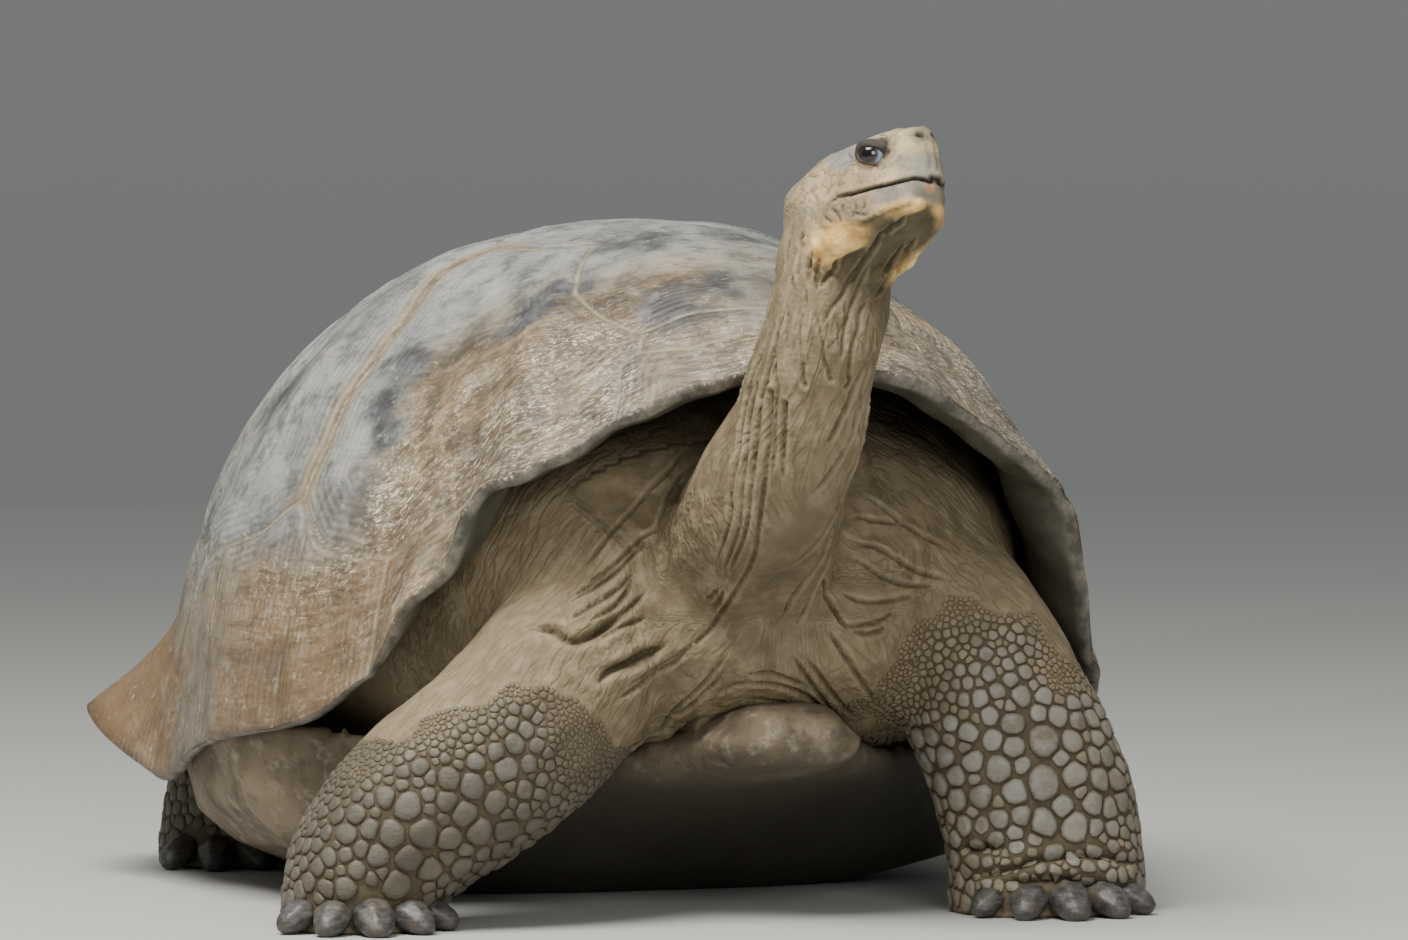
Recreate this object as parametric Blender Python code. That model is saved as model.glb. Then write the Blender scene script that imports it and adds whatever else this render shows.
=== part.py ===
"""Giant tortoise, raised on its forelegs with the neck held high: a still, life-size museum model.

Metres, +Z up. The animal faces -Y and its left side is +X. The origin lies on the floor under the
middle of the whole. The flesh is modelled in one from lofted rings, joined by a voxel remesh, and
then parted into its nodes by thin cuts.
"""

import math

import bmesh
import bpy
from mathutils import Matrix, Vector

# ---- driving dimensions ------------------------------------------------------------------------
GAP = 0.0006  # clearance between neighbouring solids

SHELL_TOP = 0.667  # height of the dome above the floor
SHELL_HALF_WIDTH = 0.450
SHELL_FRONT = 0.485  # plan distance from the dome's middle to the front rim
SHELL_REAR = 0.545
SHELL_WALL = 0.014
# Shares of the meridian, from crown to rim, of the rings that make the shell's outside and inside.
SHELL_OUTSIDE = 0.07, 0.22, 0.36, 0.49, 0.60, 0.70, 0.79, 0.86, 0.91, 0.96, 1
SHELL_INSIDE = 0.98, 0.84, 0.70, 0.52, 0.30, 0.07
PLAN_ROUNDNESS = 2.15  # exponent of the rim's outline seen from above
FRONT_NARROWING = 0.14  # the front half is this much narrower than the rear
# Share of the meridian where the rim begins to turn outwards, at the front and at the rear.
FLARE_START = 0.74, 0.92

# Round the rim, by degrees from the front: height of the edge, outward flare, depth of the
# scalloped edge, and exponent of the meridian up to the crown, where 2 would be an ellipse.
RIM = (
    (0, 0.525, 0.022, 0.004, 1.70),
    (15, 0.511, 0.026, 0.006, 1.72),
    (26, 0.464, 0.030, 0.006, 1.78),
    (34, 0.432, 0.036, 0.006, 1.84),
    (40, 0.405, 0.040, 0.006, 1.90),
    (45, 0.338, 0.036, 0.004, 1.95),
    (51, 0.296, 0.028, 0.006, 2.00),
    (57, 0.232, 0.024, 0.006, 2.05),
    (68, 0.184, 0.016, 0.005, 2.12),
    (90, 0.152, 0.006, 0.002, 2.20),
    (104, 0.108, 0.012, 0.002, 2.18),
    (121, 0.172, 0.094, 0.008, 2.18),
    (140, 0.152, 0.078, 0.008, 2.18),
    (160, 0.120, 0.056, 0.006, 2.18),
    (180, 0.100, 0.038, 0.004, 2.18),
)
MARGINALS = 11  # marginal scutes on each side

# The plastron at stations along Y: half-width, underside, top edge, thickness at the middle.
PLASTRON = (
    (-0.472, 0.040, 0.162, 0.172, 0.026),
    (-0.458, 0.064, 0.148, 0.172, 0.050),
    (-0.425, 0.076, 0.142, 0.172, 0.064),
    (-0.370, 0.092, 0.128, 0.160, 0.064),
    (-0.290, 0.160, 0.098, 0.140, 0.046),
    (-0.215, 0.265, 0.064, 0.148, 0.036),
    (-0.150, 0.376, 0.030, 0.172, 0.028),
    (-0.060, 0.434, -0.006, 0.166, 0.026),
    (0.080, 0.438, -0.012, 0.150, 0.026),
    (0.200, 0.408, -0.010, 0.124, 0.026),
    (0.290, 0.325, -0.002, 0.092, 0.026),
    (0.370, 0.190, 0.012, 0.070, 0.022),
    (0.440, 0.110, 0.024, 0.060, 0.018),
)

# The trunk's flesh at stations along Y: half-width, underside, top.
TRUNK = (
    (-0.460, 0.050, 0.242, 0.280),
    (-0.444, 0.110, 0.224, 0.330),
    (-0.410, 0.185, 0.194, 0.400),
    (-0.350, 0.250, 0.160, 0.465),
    (-0.270, 0.300, 0.132, 0.510),
    (-0.150, 0.350, 0.080, 0.560),
    (0.000, 0.385, 0.050, 0.605),
    (0.150, 0.390, 0.050, 0.595),
    (0.290, 0.360, 0.050, 0.520),
    (0.390, 0.300, 0.050, 0.400),
    (0.455, 0.200, 0.060, 0.280),
    (0.485, 0.100, 0.085, 0.200),
)

# Neck: centre, heading to the left, lift of the ring's normal, half-width, half-depth.
NECK = (
    ((-0.015, -0.230, 0.340), 0, 10, 0.115, 0.095),
    ((-0.030, -0.350, 0.344), 0, 18, 0.098, 0.086),
    ((-0.040, -0.440, 0.356), 3, 34, 0.085, 0.079),
    ((-0.047, -0.497, 0.394), 6, 53, 0.077, 0.075),
    ((-0.043, -0.527, 0.436), 8, 62, 0.068, 0.070),
    ((-0.030, -0.552, 0.480), 10, 66, 0.060, 0.065),
    ((-0.025, -0.572, 0.524), 12, 68, 0.055, 0.061),
    ((-0.019, -0.588, 0.566), 15, 66, 0.053, 0.060),
)
# Head, from the middle between the jaw's angles: heading to the left, lift, and roll to the left,
# in degrees.
HEAD_BASE = Vector((0.002, -0.620, 0.623))
HEAD_HEADING, HEAD_LIFT, HEAD_ROLL = 22, 26, 12
HEAD = (
    # crown (along, up), underside (along, up), half-width
    (-0.050, 0.093, -0.004, -0.014, 0.0530),
    (-0.032, 0.104, 0.012, -0.012, 0.0555),
    (-0.004, 0.107, 0.030, -0.012, 0.0550),
    (0.026, 0.105, 0.050, -0.013, 0.0510),
    (0.056, 0.100, 0.070, -0.013, 0.0440),
    (0.083, 0.095, 0.086, -0.010, 0.0350),
    (0.101, 0.092, 0.101, -0.003, 0.0245),
    (0.114, 0.088, 0.113, 0.008, 0.0150),
    (0.121, 0.077, 0.120, 0.020, 0.0070),
)
EYE_PLACE = (0.0725, 0.0325, 0.0675)  # along the head, to the side, up
EYE_RADIUS = 0.0145
MOUTH_CORNER = (0.027, 0.040)
MOUTH_FRONT = (0.120, 0.024)

# Limbs: centre, half-breadth across, half-depth, from the root to the sole. The ring's normal
# follows the limb.
FORELEG_LEFT = (
    ((0.095, -0.180, 0.340), 0.095, 0.105),
    ((0.150, -0.280, 0.325), 0.090, 0.100),
    ((0.200, -0.350, 0.268), 0.088, 0.090),
    ((0.236, -0.395, 0.185), 0.092, 0.080),
    ((0.262, -0.410, 0.110), 0.097, 0.076),
    ((0.272, -0.412, 0.062), 0.096, 0.074),
    ((0.272, -0.418, 0.030), 0.096, 0.080),
    ((0.272, -0.420, -0.012), 0.092, 0.080),
)
FORELEG_RIGHT = (
    ((-0.085, -0.170, 0.320), 0.095, 0.105),
    ((-0.140, -0.290, 0.285), 0.092, 0.102),
    ((-0.205, -0.366, 0.220), 0.092, 0.096),
    ((-0.276, -0.382, 0.160), 0.090, 0.088),
    ((-0.345, -0.380, 0.112), 0.086, 0.080),
    ((-0.388, -0.372, 0.066), 0.078, 0.074),
    ((-0.402, -0.366, 0.026), 0.072, 0.074),
    ((-0.403, -0.365, -0.012), 0.068, 0.070),
)
HINDLEG = (
    ((0.160, 0.300, 0.170), 0.095, 0.100),
    ((0.245, 0.350, 0.130), 0.086, 0.090),
    ((0.302, 0.382, 0.088), 0.070, 0.076),
    ((0.320, 0.385, 0.045), 0.060, 0.068),
    ((0.322, 0.380, 0.018), 0.062, 0.072),
    ((0.322, 0.378, -0.012), 0.059, 0.069),
)
TAIL = (
    ((0.000, 0.430, 0.130), 0.060, 0.055),
    ((0.004, 0.500, 0.088), 0.046, 0.042),
    ((0.024, 0.532, 0.055), 0.031, 0.028),
    ((0.062, 0.540, 0.030), 0.018, 0.016),
    ((0.096, 0.532, 0.015), 0.008, 0.007),
)

# Where cuts part the flesh. A length along the head reaches past its surface.
HEAD_CUT_NAPE, HEAD_CUT_THROAT = (-0.046, 0.10), (0.004, -0.02)
FORELEG_CUT, HINDLEG_CUT, NECK_CUT = 2, 1, 4  # stations where a limb or the neck leaves the trunk
FOREFOOT_TOP, HINDFOOT_TOP = 0.056, 0.050
TAIL_CUT, TAIL_HALF_BREADTH = Vector((0, 0.478, 0.10)), 0.075
SHELL_CUT = -0.170

CLAW_LENGTH = 0.056
CLAW_RADIUS = 0.0185
CLAW_ROOT_HEIGHT = 0.022
CLAW_CLEARANCE = 0.001  # height of a claw's flat above the floor
# Share of a claw's length, and its radius there as a share of the radius at the root.
CLAW_PROFILE = (0.2, 1.0), (0.55, 0.9), (0.82, 0.62), (0.95, 0.3)
# Each foot: limb, claws, heading of the middle toe, half the fan of toes in degrees, and reach.
FEET = {
    "fore_left": (FORELEG_LEFT, 5, -8, 52, 0.090),
    "fore_right": (FORELEG_RIGHT, 5, -6, 58, 0.078),
    "hind_left": (HINDLEG, 4, 4, 46, 0.078),
    "hind_right": (HINDLEG, 4, -4, 46, 0.078),
}

SKIN_VOXEL = 0.0075
SKIN_SOFTENING = 4  # rounds of smoothing after the remesh
SKIN_TRIANGLES = 1850
SHARP_EDGE = 50  # degrees between two faces above which the edge is drawn sharp

COLOURS = {
    "shell": ((0.200, 0.180, 0.155), 0.55),
    "plastron": ((0.300, 0.255, 0.190), 0.60),
    "skin": ((0.215, 0.170, 0.120), 0.80),
    "beak": ((0.290, 0.250, 0.190), 0.50),
    "claw": ((0.120, 0.110, 0.105), 0.45),
    "eye": ((0.020, 0.018, 0.016), 0.08),
}


ACROSS, ALONG, UP = Vector((1, 0, 0)), Vector((0, 1, 0)), Vector((0, 0, 1))


# ---- helpers -----------------------------------------------------------------------------------
def clear_scene():
    for obj in list(bpy.data.objects):
        bpy.data.objects.remove(obj)


def material(name):
    found = bpy.data.materials.get(name)
    if found:
        return found
    colour, roughness = COLOURS[name]
    made = bpy.data.materials.new(name)
    made.use_nodes = True
    shader = made.node_tree.nodes["Principled BSDF"]
    shader.inputs["Base Color"].default_value = (*colour, 1)
    shader.inputs["Roughness"].default_value = roughness
    return made


def settle_on_origin():
    """Moves every mesh so that the origin lies on the floor under the middle of the whole."""
    points = [vert.co for obj in bpy.data.objects for vert in obj.data.vertices]
    low = Vector([min(point[axis] for point in points) for axis in range(3)])
    high = Vector([max(point[axis] for point in points) for axis in range(3)])
    middle = Vector(((low.x + high.x) / 2, (low.y + high.y) / 2, low.z))
    for obj in bpy.data.objects:
        obj.data.transform(Matrix.Translation(-middle))
    print("moved by", [round(-value, 4) for value in middle])


def add_object(name, mesh, finish=None):
    obj = bpy.data.objects.new(name, mesh)
    bpy.context.scene.collection.objects.link(obj)
    if finish:
        mesh.materials.clear()
        mesh.materials.append(material(finish))
        mesh.shade_smooth()
        mesh.set_sharp_from_angle(angle=math.radians(SHARP_EDGE))
    return obj


def mesh_of(bm, name):
    bmesh.ops.triangulate(bm, faces=bm.faces)
    bm.normal_update()
    bmesh.ops.recalc_face_normals(bm, faces=bm.faces)
    mesh = bpy.data.meshes.new(name)
    bm.to_mesh(mesh)
    bm.free()
    return mesh


def baked(obj):
    """The object's mesh with its modifiers applied, as a new mesh."""
    bpy.context.view_layer.update()
    graph = bpy.context.evaluated_depsgraph_get()
    return bpy.data.meshes.new_from_object(obj.evaluated_get(graph))


def catmull_rom(a, b, c, d, t):
    return b + 0.5 * t * (c - a + t * (2 * a - 5 * b + 4 * c - d + t * (3 * (b - c) + d - a)))


def between(rows, at):
    """The row at a fractional index, on a smooth curve through all rows of equal length."""
    last = len(rows) - 1
    i = min(int(at), last - 1)
    picked = [rows[min(max(i + k, 0), last)] for k in (-1, 0, 1, 2)]
    return [catmull_rom(*values, at - i) for values in zip(*picked)]


def looked_up(rows, key):
    """The other columns of rows at a value of the first column, on a smooth curve."""
    key = min(max(key, rows[0][0]), rows[-1][0])
    i = max(k for k in range(len(rows) - 1) if rows[k][0] <= key or k == 0)
    share = (key - rows[i][0]) / (rows[i + 1][0] - rows[i][0])
    return between(rows, i + share)[1:]


def rounded(angle, exponent):
    """Cosine and sine of a superellipse, whose corners fill out as the exponent grows."""
    c, s = math.cos(angle), math.sin(angle)
    return (
        math.copysign(abs(c) ** (2 / exponent), c),
        math.copysign(abs(s) ** (2 / exponent), s),
    )


def skin_rings(bm, rings):
    """Faces between successive rings of points, with the two ends filled."""
    made = [[bm.verts.new(point) for point in ring] for ring in rings]
    for low, high in zip(made, made[1:]):
        for k in range(len(low)):
            n = (k + 1) % len(low)
            bm.faces.new((low[k], low[n], high[n], high[k]))
    bm.faces.new(made[0])
    bm.faces.new(made[-1])


def ring_points(centre, across, up, half_width, half_depth, segments, exponent=2.0, lower=None):
    """A ring round a centre, whose lower half may have an exponent of its own."""
    points = []
    for k in range(segments):
        angle = 2 * math.pi * k / segments
        c, s = rounded(angle, lower if lower and angle > math.pi else exponent)
        points.append(centre + across * (half_width * c) + up * (half_depth * s))
    return points


# ---- shell -------------------------------------------------------------------------------------
def rim_at(angle):
    """Height, flare, scallop and meridian exponent at an angle from the front to either side."""
    return looked_up(RIM, abs(math.degrees(angle)))


def dome_point(angle, share):
    """A point of the carapace, at an angle from the front to the left and a share of the way
    from the crown to the rim."""
    height, flare, scallop, roundness = rim_at(angle)
    c, s = rounded(angle, PLAN_ROUNDNESS)
    out, drop = math.sin(share * math.pi / 2), math.cos(share * math.pi / 2)
    out, drop = out ** (2 / roundness), max(drop, 0) ** (2 / roundness)
    reach = SHELL_FRONT if c > 0 else SHELL_REAR
    width = SHELL_HALF_WIDTH * (1 - FRONT_NARROWING * max(c, 0))
    start = FLARE_START[0] + (FLARE_START[1] - FLARE_START[0]) * (1 - math.cos(angle)) / 2
    turned = max(share - start, 0) / (1 - start)
    tooth = scallop * (2 * abs(math.cos(angle * MARGINALS)) - 1) * turned
    grown = (flare + tooth) * turned * turned
    point = Vector((width * s * out, -reach * c * out, height + (SHELL_TOP - height) * drop))
    return point + Vector((math.sin(angle), -math.cos(angle), 0)) * grown


def dome_normal(angle, share):
    step = 0.01
    low, high = max(share - step, 0.02), min(share + step, 1)
    along = dome_point(angle, high) - dome_point(angle, low)
    share = max(share, 0.05)
    round_rim = dome_point(angle + step, share) - dome_point(angle - step, share)
    return round_rim.cross(along).normalized() * -1


def wrapped(angle):
    return math.atan2(math.sin(angle), math.cos(angle))


def dome_rings(shares, depth, segments):
    rings = []
    for share in shares:
        ring = []
        for k in range(segments):
            angle = wrapped(2 * math.pi * k / segments)
            normal = dome_normal(angle, share)
            ring.append(dome_point(angle, share) - normal * depth)
        rings.append(ring)
    return rings


def carapace_mesh(segments=66):
    """The domed shell, open below, with its wall turned over at the rim."""
    bm = bmesh.new()
    outside = dome_rings(SHELL_OUTSIDE, 0, segments)
    inside = dome_rings(SHELL_INSIDE, SHELL_WALL, segments)
    skin_rings(bm, outside + inside)
    return mesh_of(bm, "carapace")


def plastron_mesh(segments=12):
    """The under-shell and its bridges: a broad trough that rises at the sides to the carapace."""
    bm = bmesh.new()
    rings = []
    for y, half, low, edge, thick in PLASTRON:
        under, over = [], []
        for m in range(segments):
            side = -1 + 2 * m / (segments - 1)
            c, s = rounded(math.pi * (side + 1) / 2, 2.6)
            z = edge - (edge - low) * s
            upper = z + thick * (0.25 + 0.75 * s)
            under.append(Vector((-half * c, y, z)))
            over.append(Vector((-(half - thick * 0.35) * c, y, upper)))
        rings.append(under + over[::-1])
    skin_rings(bm, rings)
    cut_at_floor(bm)
    return mesh_of(bm, "plastron")


def cut_at_floor(bm, height=0):
    """Cuts away what reaches below the floor, or a height above it, and closes it with a flat."""
    geometry = bm.verts[:] + bm.edges[:] + bm.faces[:]
    level = {"plane_co": (0, 0, height), "plane_no": (0, 0, -1)}
    cut = bmesh.ops.bisect_plane(bm, geom=geometry, dist=1e-6, clear_outer=True, **level)
    edges = [e for e in cut["geom_cut"] if isinstance(e, bmesh.types.BMEdge)]
    if edges:
        bmesh.ops.holes_fill(bm, edges=edges, sides=0)


# ---- flesh -------------------------------------------------------------------------------------
def heading_frame(heading, lift, roll=0):
    """Normal, leftward and upward directions for a heading, a lift and a roll in degrees, where
    heading and roll are to the left."""
    h, e = math.radians(heading), math.radians(lift)
    normal = Vector((math.sin(h) * math.cos(e), -math.cos(h) * math.cos(e), math.sin(e)))
    left = Matrix.Rotation(math.radians(-roll), 3, normal) @ Vector((math.cos(h), math.sin(h), 0))
    return normal, left, normal.cross(left)


def trunk_rings(segments=40):
    rings = []
    for k in range(3 * (len(TRUNK) - 1) + 1):
        y, half, low, high = between(TRUNK, k / 3)
        centre = Vector((0, y, (low + high) / 2))
        depth = (high - low) / 2
        rings.append(ring_points(centre, ACROSS, UP, half, depth, segments, 2.3))
    return rings


def neck_and_head_rings(segments=32):
    rows = []
    for centre, heading, lift, half, depth in NECK:
        rows.append((*centre, heading, lift, 0, half, depth, 2.0, 2.0))
    for crown_along, crown, under_along, under, half in HEAD:
        lift = HEAD_LIFT + math.degrees(math.atan2(under_along - crown_along, crown - under))
        centre = head_point((crown_along + under_along) / 2, 0, (crown + under) / 2)
        depth = math.hypot(crown_along - under_along, crown - under) / 2
        rows.append((*centre, HEAD_HEADING, lift, HEAD_ROLL, half, depth, 2.25, 4.0))
    rings = []
    for k in range(3 * (len(rows) - 1) + 1):
        x, y, z, heading, lift, roll, half, depth, exponent, lower = between(rows, k / 3)
        _, left, up = heading_frame(heading, lift, roll)
        centre = Vector((x, y, z))
        rings.append(ring_points(centre, left, up, half, depth, segments, exponent, lower))
    return rings


def limb_rings(stations, mirrored=False, segments=28):
    rows = [(*centre, half, depth) for centre, half, depth in stations]
    if mirrored:
        rows = [(-x, y, z, half, depth) for x, y, z, half, depth in rows]
    count = 3 * (len(rows) - 1)
    path = [Vector(between(rows, k / 3)[:3]) for k in range(count + 1)]
    rings = []
    for k in range(count + 1):
        along = (path[min(k + 1, count)] - path[max(k - 1, 0)]).normalized()
        across = ACROSS - along * along.x
        if across.length < 0.3:
            across = UP.cross(along)
        across.normalize()
        half, depth = between(rows, k / 3)[3:]
        deep = along.cross(across)
        rings.append(ring_points(path[k], across, deep, half, depth, segments, 2.15))
    return rings


def flesh_mesh():
    """The whole body's flesh as one closed surface: lofts joined by a voxel remesh, then smoothed
    and thinned."""
    bm = bmesh.new()
    for rings in (
        trunk_rings(),
        neck_and_head_rings(),
        limb_rings(FORELEG_LEFT),
        limb_rings(FORELEG_RIGHT),
        limb_rings(HINDLEG),
        limb_rings(HINDLEG, mirrored=True),
        limb_rings(TAIL),
    ):
        part = bmesh.new()
        skin_rings(part, rings)
        bmesh.ops.recalc_face_normals(part, faces=part.faces)
        piece = bpy.data.meshes.new("loft")
        part.to_mesh(piece)
        part.free()
        bm.from_mesh(piece)
    mesh = bpy.data.meshes.new("flesh")
    bm.to_mesh(mesh)
    bm.free()
    obj = add_object("flesh_guide", mesh)
    remesh = obj.modifiers.new("Join", "REMESH")
    remesh.mode = "VOXEL"
    remesh.voxel_size = SKIN_VOXEL
    smooth = obj.modifiers.new("Soften", "SMOOTH")
    smooth.factor = 0.5
    smooth.iterations = SKIN_SOFTENING
    whole = baked(obj)
    whole.calc_loop_triangles()
    thin = add_object("thin_guide", whole)
    decimate = thin.modifiers.new("Thin", "DECIMATE")
    decimate.ratio = SKIN_TRIANGLES / len(whole.loop_triangles)
    mesh = baked(thin)
    bm = bmesh.new()
    bm.from_mesh(mesh)
    cut_at_floor(bm)
    for guide in (obj, thin):
        bpy.data.objects.remove(guide)
    return mesh_of(bm, "flesh")


def box_mesh(centre, axes, low, high):
    """A box given by its corners along three axes from a centre."""
    bm = bmesh.new()
    bmesh.ops.create_cube(bm, size=1)
    for vert in bm.verts:
        corner = centre.copy()
        for axis, start, end, share in zip(axes, low, high, vert.co):
            corner += axis * (start if share < 0 else end)
        vert.co = corner
    return mesh_of(bm, "cell")


def boolean(mesh, cutter, operation):
    """The biggest body that a Boolean between two meshes leaves."""
    first, second = add_object("first_guide", mesh), add_object("second_guide", cutter)
    modifier = first.modifiers.new("Cut", "BOOLEAN")
    modifier.operation = operation
    modifier.object = second
    modifier.solver = "EXACT"
    result = baked(first)
    bpy.data.objects.remove(first)
    bpy.data.objects.remove(second)
    return largest_body(result)


def largest_body(mesh):
    """Keeps the biggest closed body of a mesh, dropping any sliver that a cut left."""
    bm = bmesh.new()
    bm.from_mesh(mesh)
    bmesh.ops.remove_doubles(bm, verts=bm.verts, dist=2e-5)
    seen, bodies = set(), []
    for start in bm.verts:
        if start in seen:
            continue
        body, queue = [], [start]
        seen.add(start)
        while queue:
            vert = queue.pop()
            body.append(vert)
            for edge in vert.link_edges:
                other = edge.other_vert(vert)
                if other not in seen:
                    seen.add(other)
                    queue.append(other)
        bodies.append(body)
    bodies.sort(key=len)
    bmesh.ops.delete(bm, geom=[v for body in bodies[:-1] for v in body], context="VERTS")
    return mesh_of(bm, mesh.name)


def cell_at(centre, toward, left, low, high):
    """Centre and axes of a cell whose first axis leads out of the body."""
    toward = toward.normalized()
    left = (left - toward * left.dot(toward)).normalized()
    return centre, (toward, left, toward.cross(left)), low, high


def grown_cell(cell):
    """The same cell, wider by the clearance, to cut its neighbour with."""
    centre, axes, low, high = cell
    return centre, axes, [a - GAP for a in low], [b + GAP for b in high]


def limb_cell(stations, first, mirrored=False, reach=0.5, breadth=0.16):
    """The half-space box beyond the ring at a station, along the limb."""
    flip = Vector((-1 if mirrored else 1, 1, 1))
    here, there = (Vector(stations[k][0]) * flip for k in (first, first + 1))
    side = UP if abs((there - here).normalized().z) < 0.8 else ALONG
    low, high = [0, -breadth, -breadth], [reach, breadth, breadth]
    return cell_at(here, there - here, side, low, high)


def below_cell(stations, height, mirrored=False):
    """The box below a height round a limb's foot."""
    x, y, _ = stations[-2][0]
    centre = Vector((-x if mirrored else x, y, height))
    return centre, (ACROSS, ALONG, UP), [-0.16, -0.16, -0.3], [0.16, 0.16, 0]


def head_point(along, side, up):
    forward, left, rise = heading_frame(HEAD_HEADING, HEAD_LIFT, HEAD_ROLL)
    return HEAD_BASE + forward * along + left * side + rise * up


def head_cell():
    """Everything forward of a cut from behind the nape to the throat."""
    nape = head_point(HEAD_CUT_NAPE[0], 0, HEAD_CUT_NAPE[1])
    throat = head_point(HEAD_CUT_THROAT[0], 0, HEAD_CUT_THROAT[1])
    _, left, _ = heading_frame(HEAD_HEADING, HEAD_LIFT, HEAD_ROLL)
    forward = left.cross(nape - throat)
    return cell_at((nape + throat) / 2, forward, left, [0, -0.10, -0.13], [0.3, 0.10, 0.13])


def jaw_cell():
    """The box under the line of the mouth, forward of its corner."""
    corner = head_point(MOUTH_CORNER[0], 0, MOUTH_CORNER[1])
    front = head_point(MOUTH_FRONT[0], 0, MOUTH_FRONT[1])
    _, left, _ = heading_frame(HEAD_HEADING, HEAD_LIFT, HEAD_ROLL)
    return cell_at(corner, front - corner, left, [0, -0.08, -0.2], [0.2, 0.08, 0])


def neck_cell():
    """The neck above its root, which the head's cell then ends."""
    centre, heading, lift, _, _ = NECK[NECK_CUT]
    forward, left, _ = heading_frame(heading, lift)
    return cell_at(Vector(centre), forward, left, [0, -0.14, -0.14], [0.4, 0.14, 0.14])


def shell_front_cell():
    """The carapace forward of a cut behind its first scutes."""
    return Vector((0, SHELL_CUT, 0)), (ACROSS, -ALONG, UP), [-0.7, 0, -0.1], [0.7, 0.7, 0.9]


def tail_cell():
    low, high = [0, -TAIL_HALF_BREADTH, -0.14], [0.3, TAIL_HALF_BREADTH, 0.14]
    return cell_at(TAIL_CUT, Vector((0, 1, -0.4)), ACROSS, low, high)


def foot_cells():
    """For each limb, the cell beyond its root and the cell of its foot."""
    cells = {}
    for name, (stations, _, _, _, _) in FEET.items():
        mirrored = name == "hind_right"
        fore = name.startswith("fore")
        root, foot_top = (FORELEG_CUT, FOREFOOT_TOP) if fore else (HINDLEG_CUT, HINDFOOT_TOP)
        leg_zone = limb_cell(stations, root, mirrored)
        cells[name] = leg_zone, below_cell(stations, foot_top, mirrored)
    return cells


def piece(mesh, keep, drop=()):
    """The flesh inside every cell of keep and outside every cell of drop."""
    made = mesh.copy()
    for cell in keep:
        made = boolean(made, box_mesh(*cell), "INTERSECT")
    for cell in drop:
        made = boolean(made, box_mesh(*grown_cell(cell)), "DIFFERENCE")
    return made


def grown_mesh(mesh, by):
    """The mesh moved outwards along its normals."""
    made = mesh.copy()
    normals = [vert.normal.copy() for vert in made.vertices]
    for vert, normal in zip(made.vertices, normals):
        vert.co += normal * by
    return made


def ball_mesh(centre, radius, segments=12, rings=7):
    bm = bmesh.new()
    bmesh.ops.create_uvsphere(bm, u_segments=segments, v_segments=rings, radius=radius)
    bmesh.ops.translate(bm, verts=bm.verts, vec=centre)
    return mesh_of(bm, "ball")


def claw_mesh(root, heading, length, radius, sides=7):
    """A blunt nail that leaves the toe level and turns down to the floor."""
    bm = bmesh.new()
    forward = Vector((math.sin(heading), -math.cos(heading), 0))
    across = Vector((math.cos(heading), math.sin(heading), 0))
    rings = []
    for share, size in CLAW_PROFILE:
        centre = root + forward * (length * share) - UP * (0.35 * length * share * share)
        up = (forward - UP * (0.7 * share)).normalized().cross(across)
        rings.append(ring_points(centre, across, up, radius * size, radius * size * 0.8, sides))
    skin_rings(bm, rings)
    cut_at_floor(bm, CLAW_CLEARANCE)
    return mesh_of(bm, "claw")


def build_claws(name, foot):
    """The nails of one foot, each ending where the toe's flesh begins."""
    stations, count, middle, fan, reach = FEET[name]
    flip = -1 if name == "hind_right" else 1
    x, y, _ = stations[-2][0]
    socket = grown_mesh(foot, GAP)
    for k in range(count):
        spread = 2 * k / (count - 1) - 1
        heading = math.radians(middle + fan * spread)
        outward = Vector((math.sin(heading), -math.cos(heading), 0))
        size = 1 - 0.16 * abs(spread)
        root = Vector((flip * x, y, CLAW_ROOT_HEIGHT)) + outward * (reach - CLAW_LENGTH * 0.5)
        nail = claw_mesh(root, heading, CLAW_LENGTH * size, CLAW_RADIUS * size)
        nail = boolean(nail, socket.copy(), "DIFFERENCE")
        add_object(f"claw_{name}_{k + 1}", nail, "claw")


# ---- the model ---------------------------------------------------------------------------------
def main():
    clear_scene()
    carapace = carapace_mesh()
    plastron = boolean(plastron_mesh(), grown_mesh(carapace, GAP), "DIFFERENCE")
    flesh = flesh_mesh()
    for shell in (plastron, carapace):
        flesh = boolean(flesh, grown_mesh(shell, GAP), "DIFFERENCE")
    head_zone, jaw_zone, neck_zone, tail_zone = head_cell(), jaw_cell(), neck_cell(), tail_cell()
    limbs = foot_cells()

    head = piece(flesh, [head_zone], [jaw_zone])
    jaw = piece(flesh, [head_zone, jaw_zone])
    for side, sign in (("left", 1), ("right", -1)):
        along, out, up = EYE_PLACE
        centre = head_point(along, sign * out, up)
        head = boolean(head, ball_mesh(centre, EYE_RADIUS + GAP), "DIFFERENCE")
        add_object(f"eye_{side}", ball_mesh(centre, EYE_RADIUS), "eye")
    add_object("head", head, "skin")
    add_object("lower_jaw", jaw, "beak")
    add_object("neck", piece(flesh, [neck_zone], [head_zone]), "skin")
    add_object("tail", piece(flesh, [tail_zone]), "skin")

    for name, (leg_zone, foot_zone) in limbs.items():
        end, side = name.split("_")
        foot = piece(flesh, [leg_zone, foot_zone])
        leg = piece(flesh, [leg_zone], [foot_zone])
        add_object(f"{end}leg_{side}", leg, "skin")
        build_claws(name, foot)
        add_object(f"{end}foot_{side}", foot, "skin")

    roots = [neck_zone, tail_zone] + [leg_zone for leg_zone, _ in limbs.values()]
    add_object("trunk", piece(flesh, [], roots), "skin")
    front = shell_front_cell()
    add_object("carapace_front", piece(carapace, [front]), "shell")
    add_object("carapace_rear", piece(carapace, [], [front]), "shell")
    add_object("plastron", plastron, "plastron")
    settle_on_origin()


main()
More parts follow.
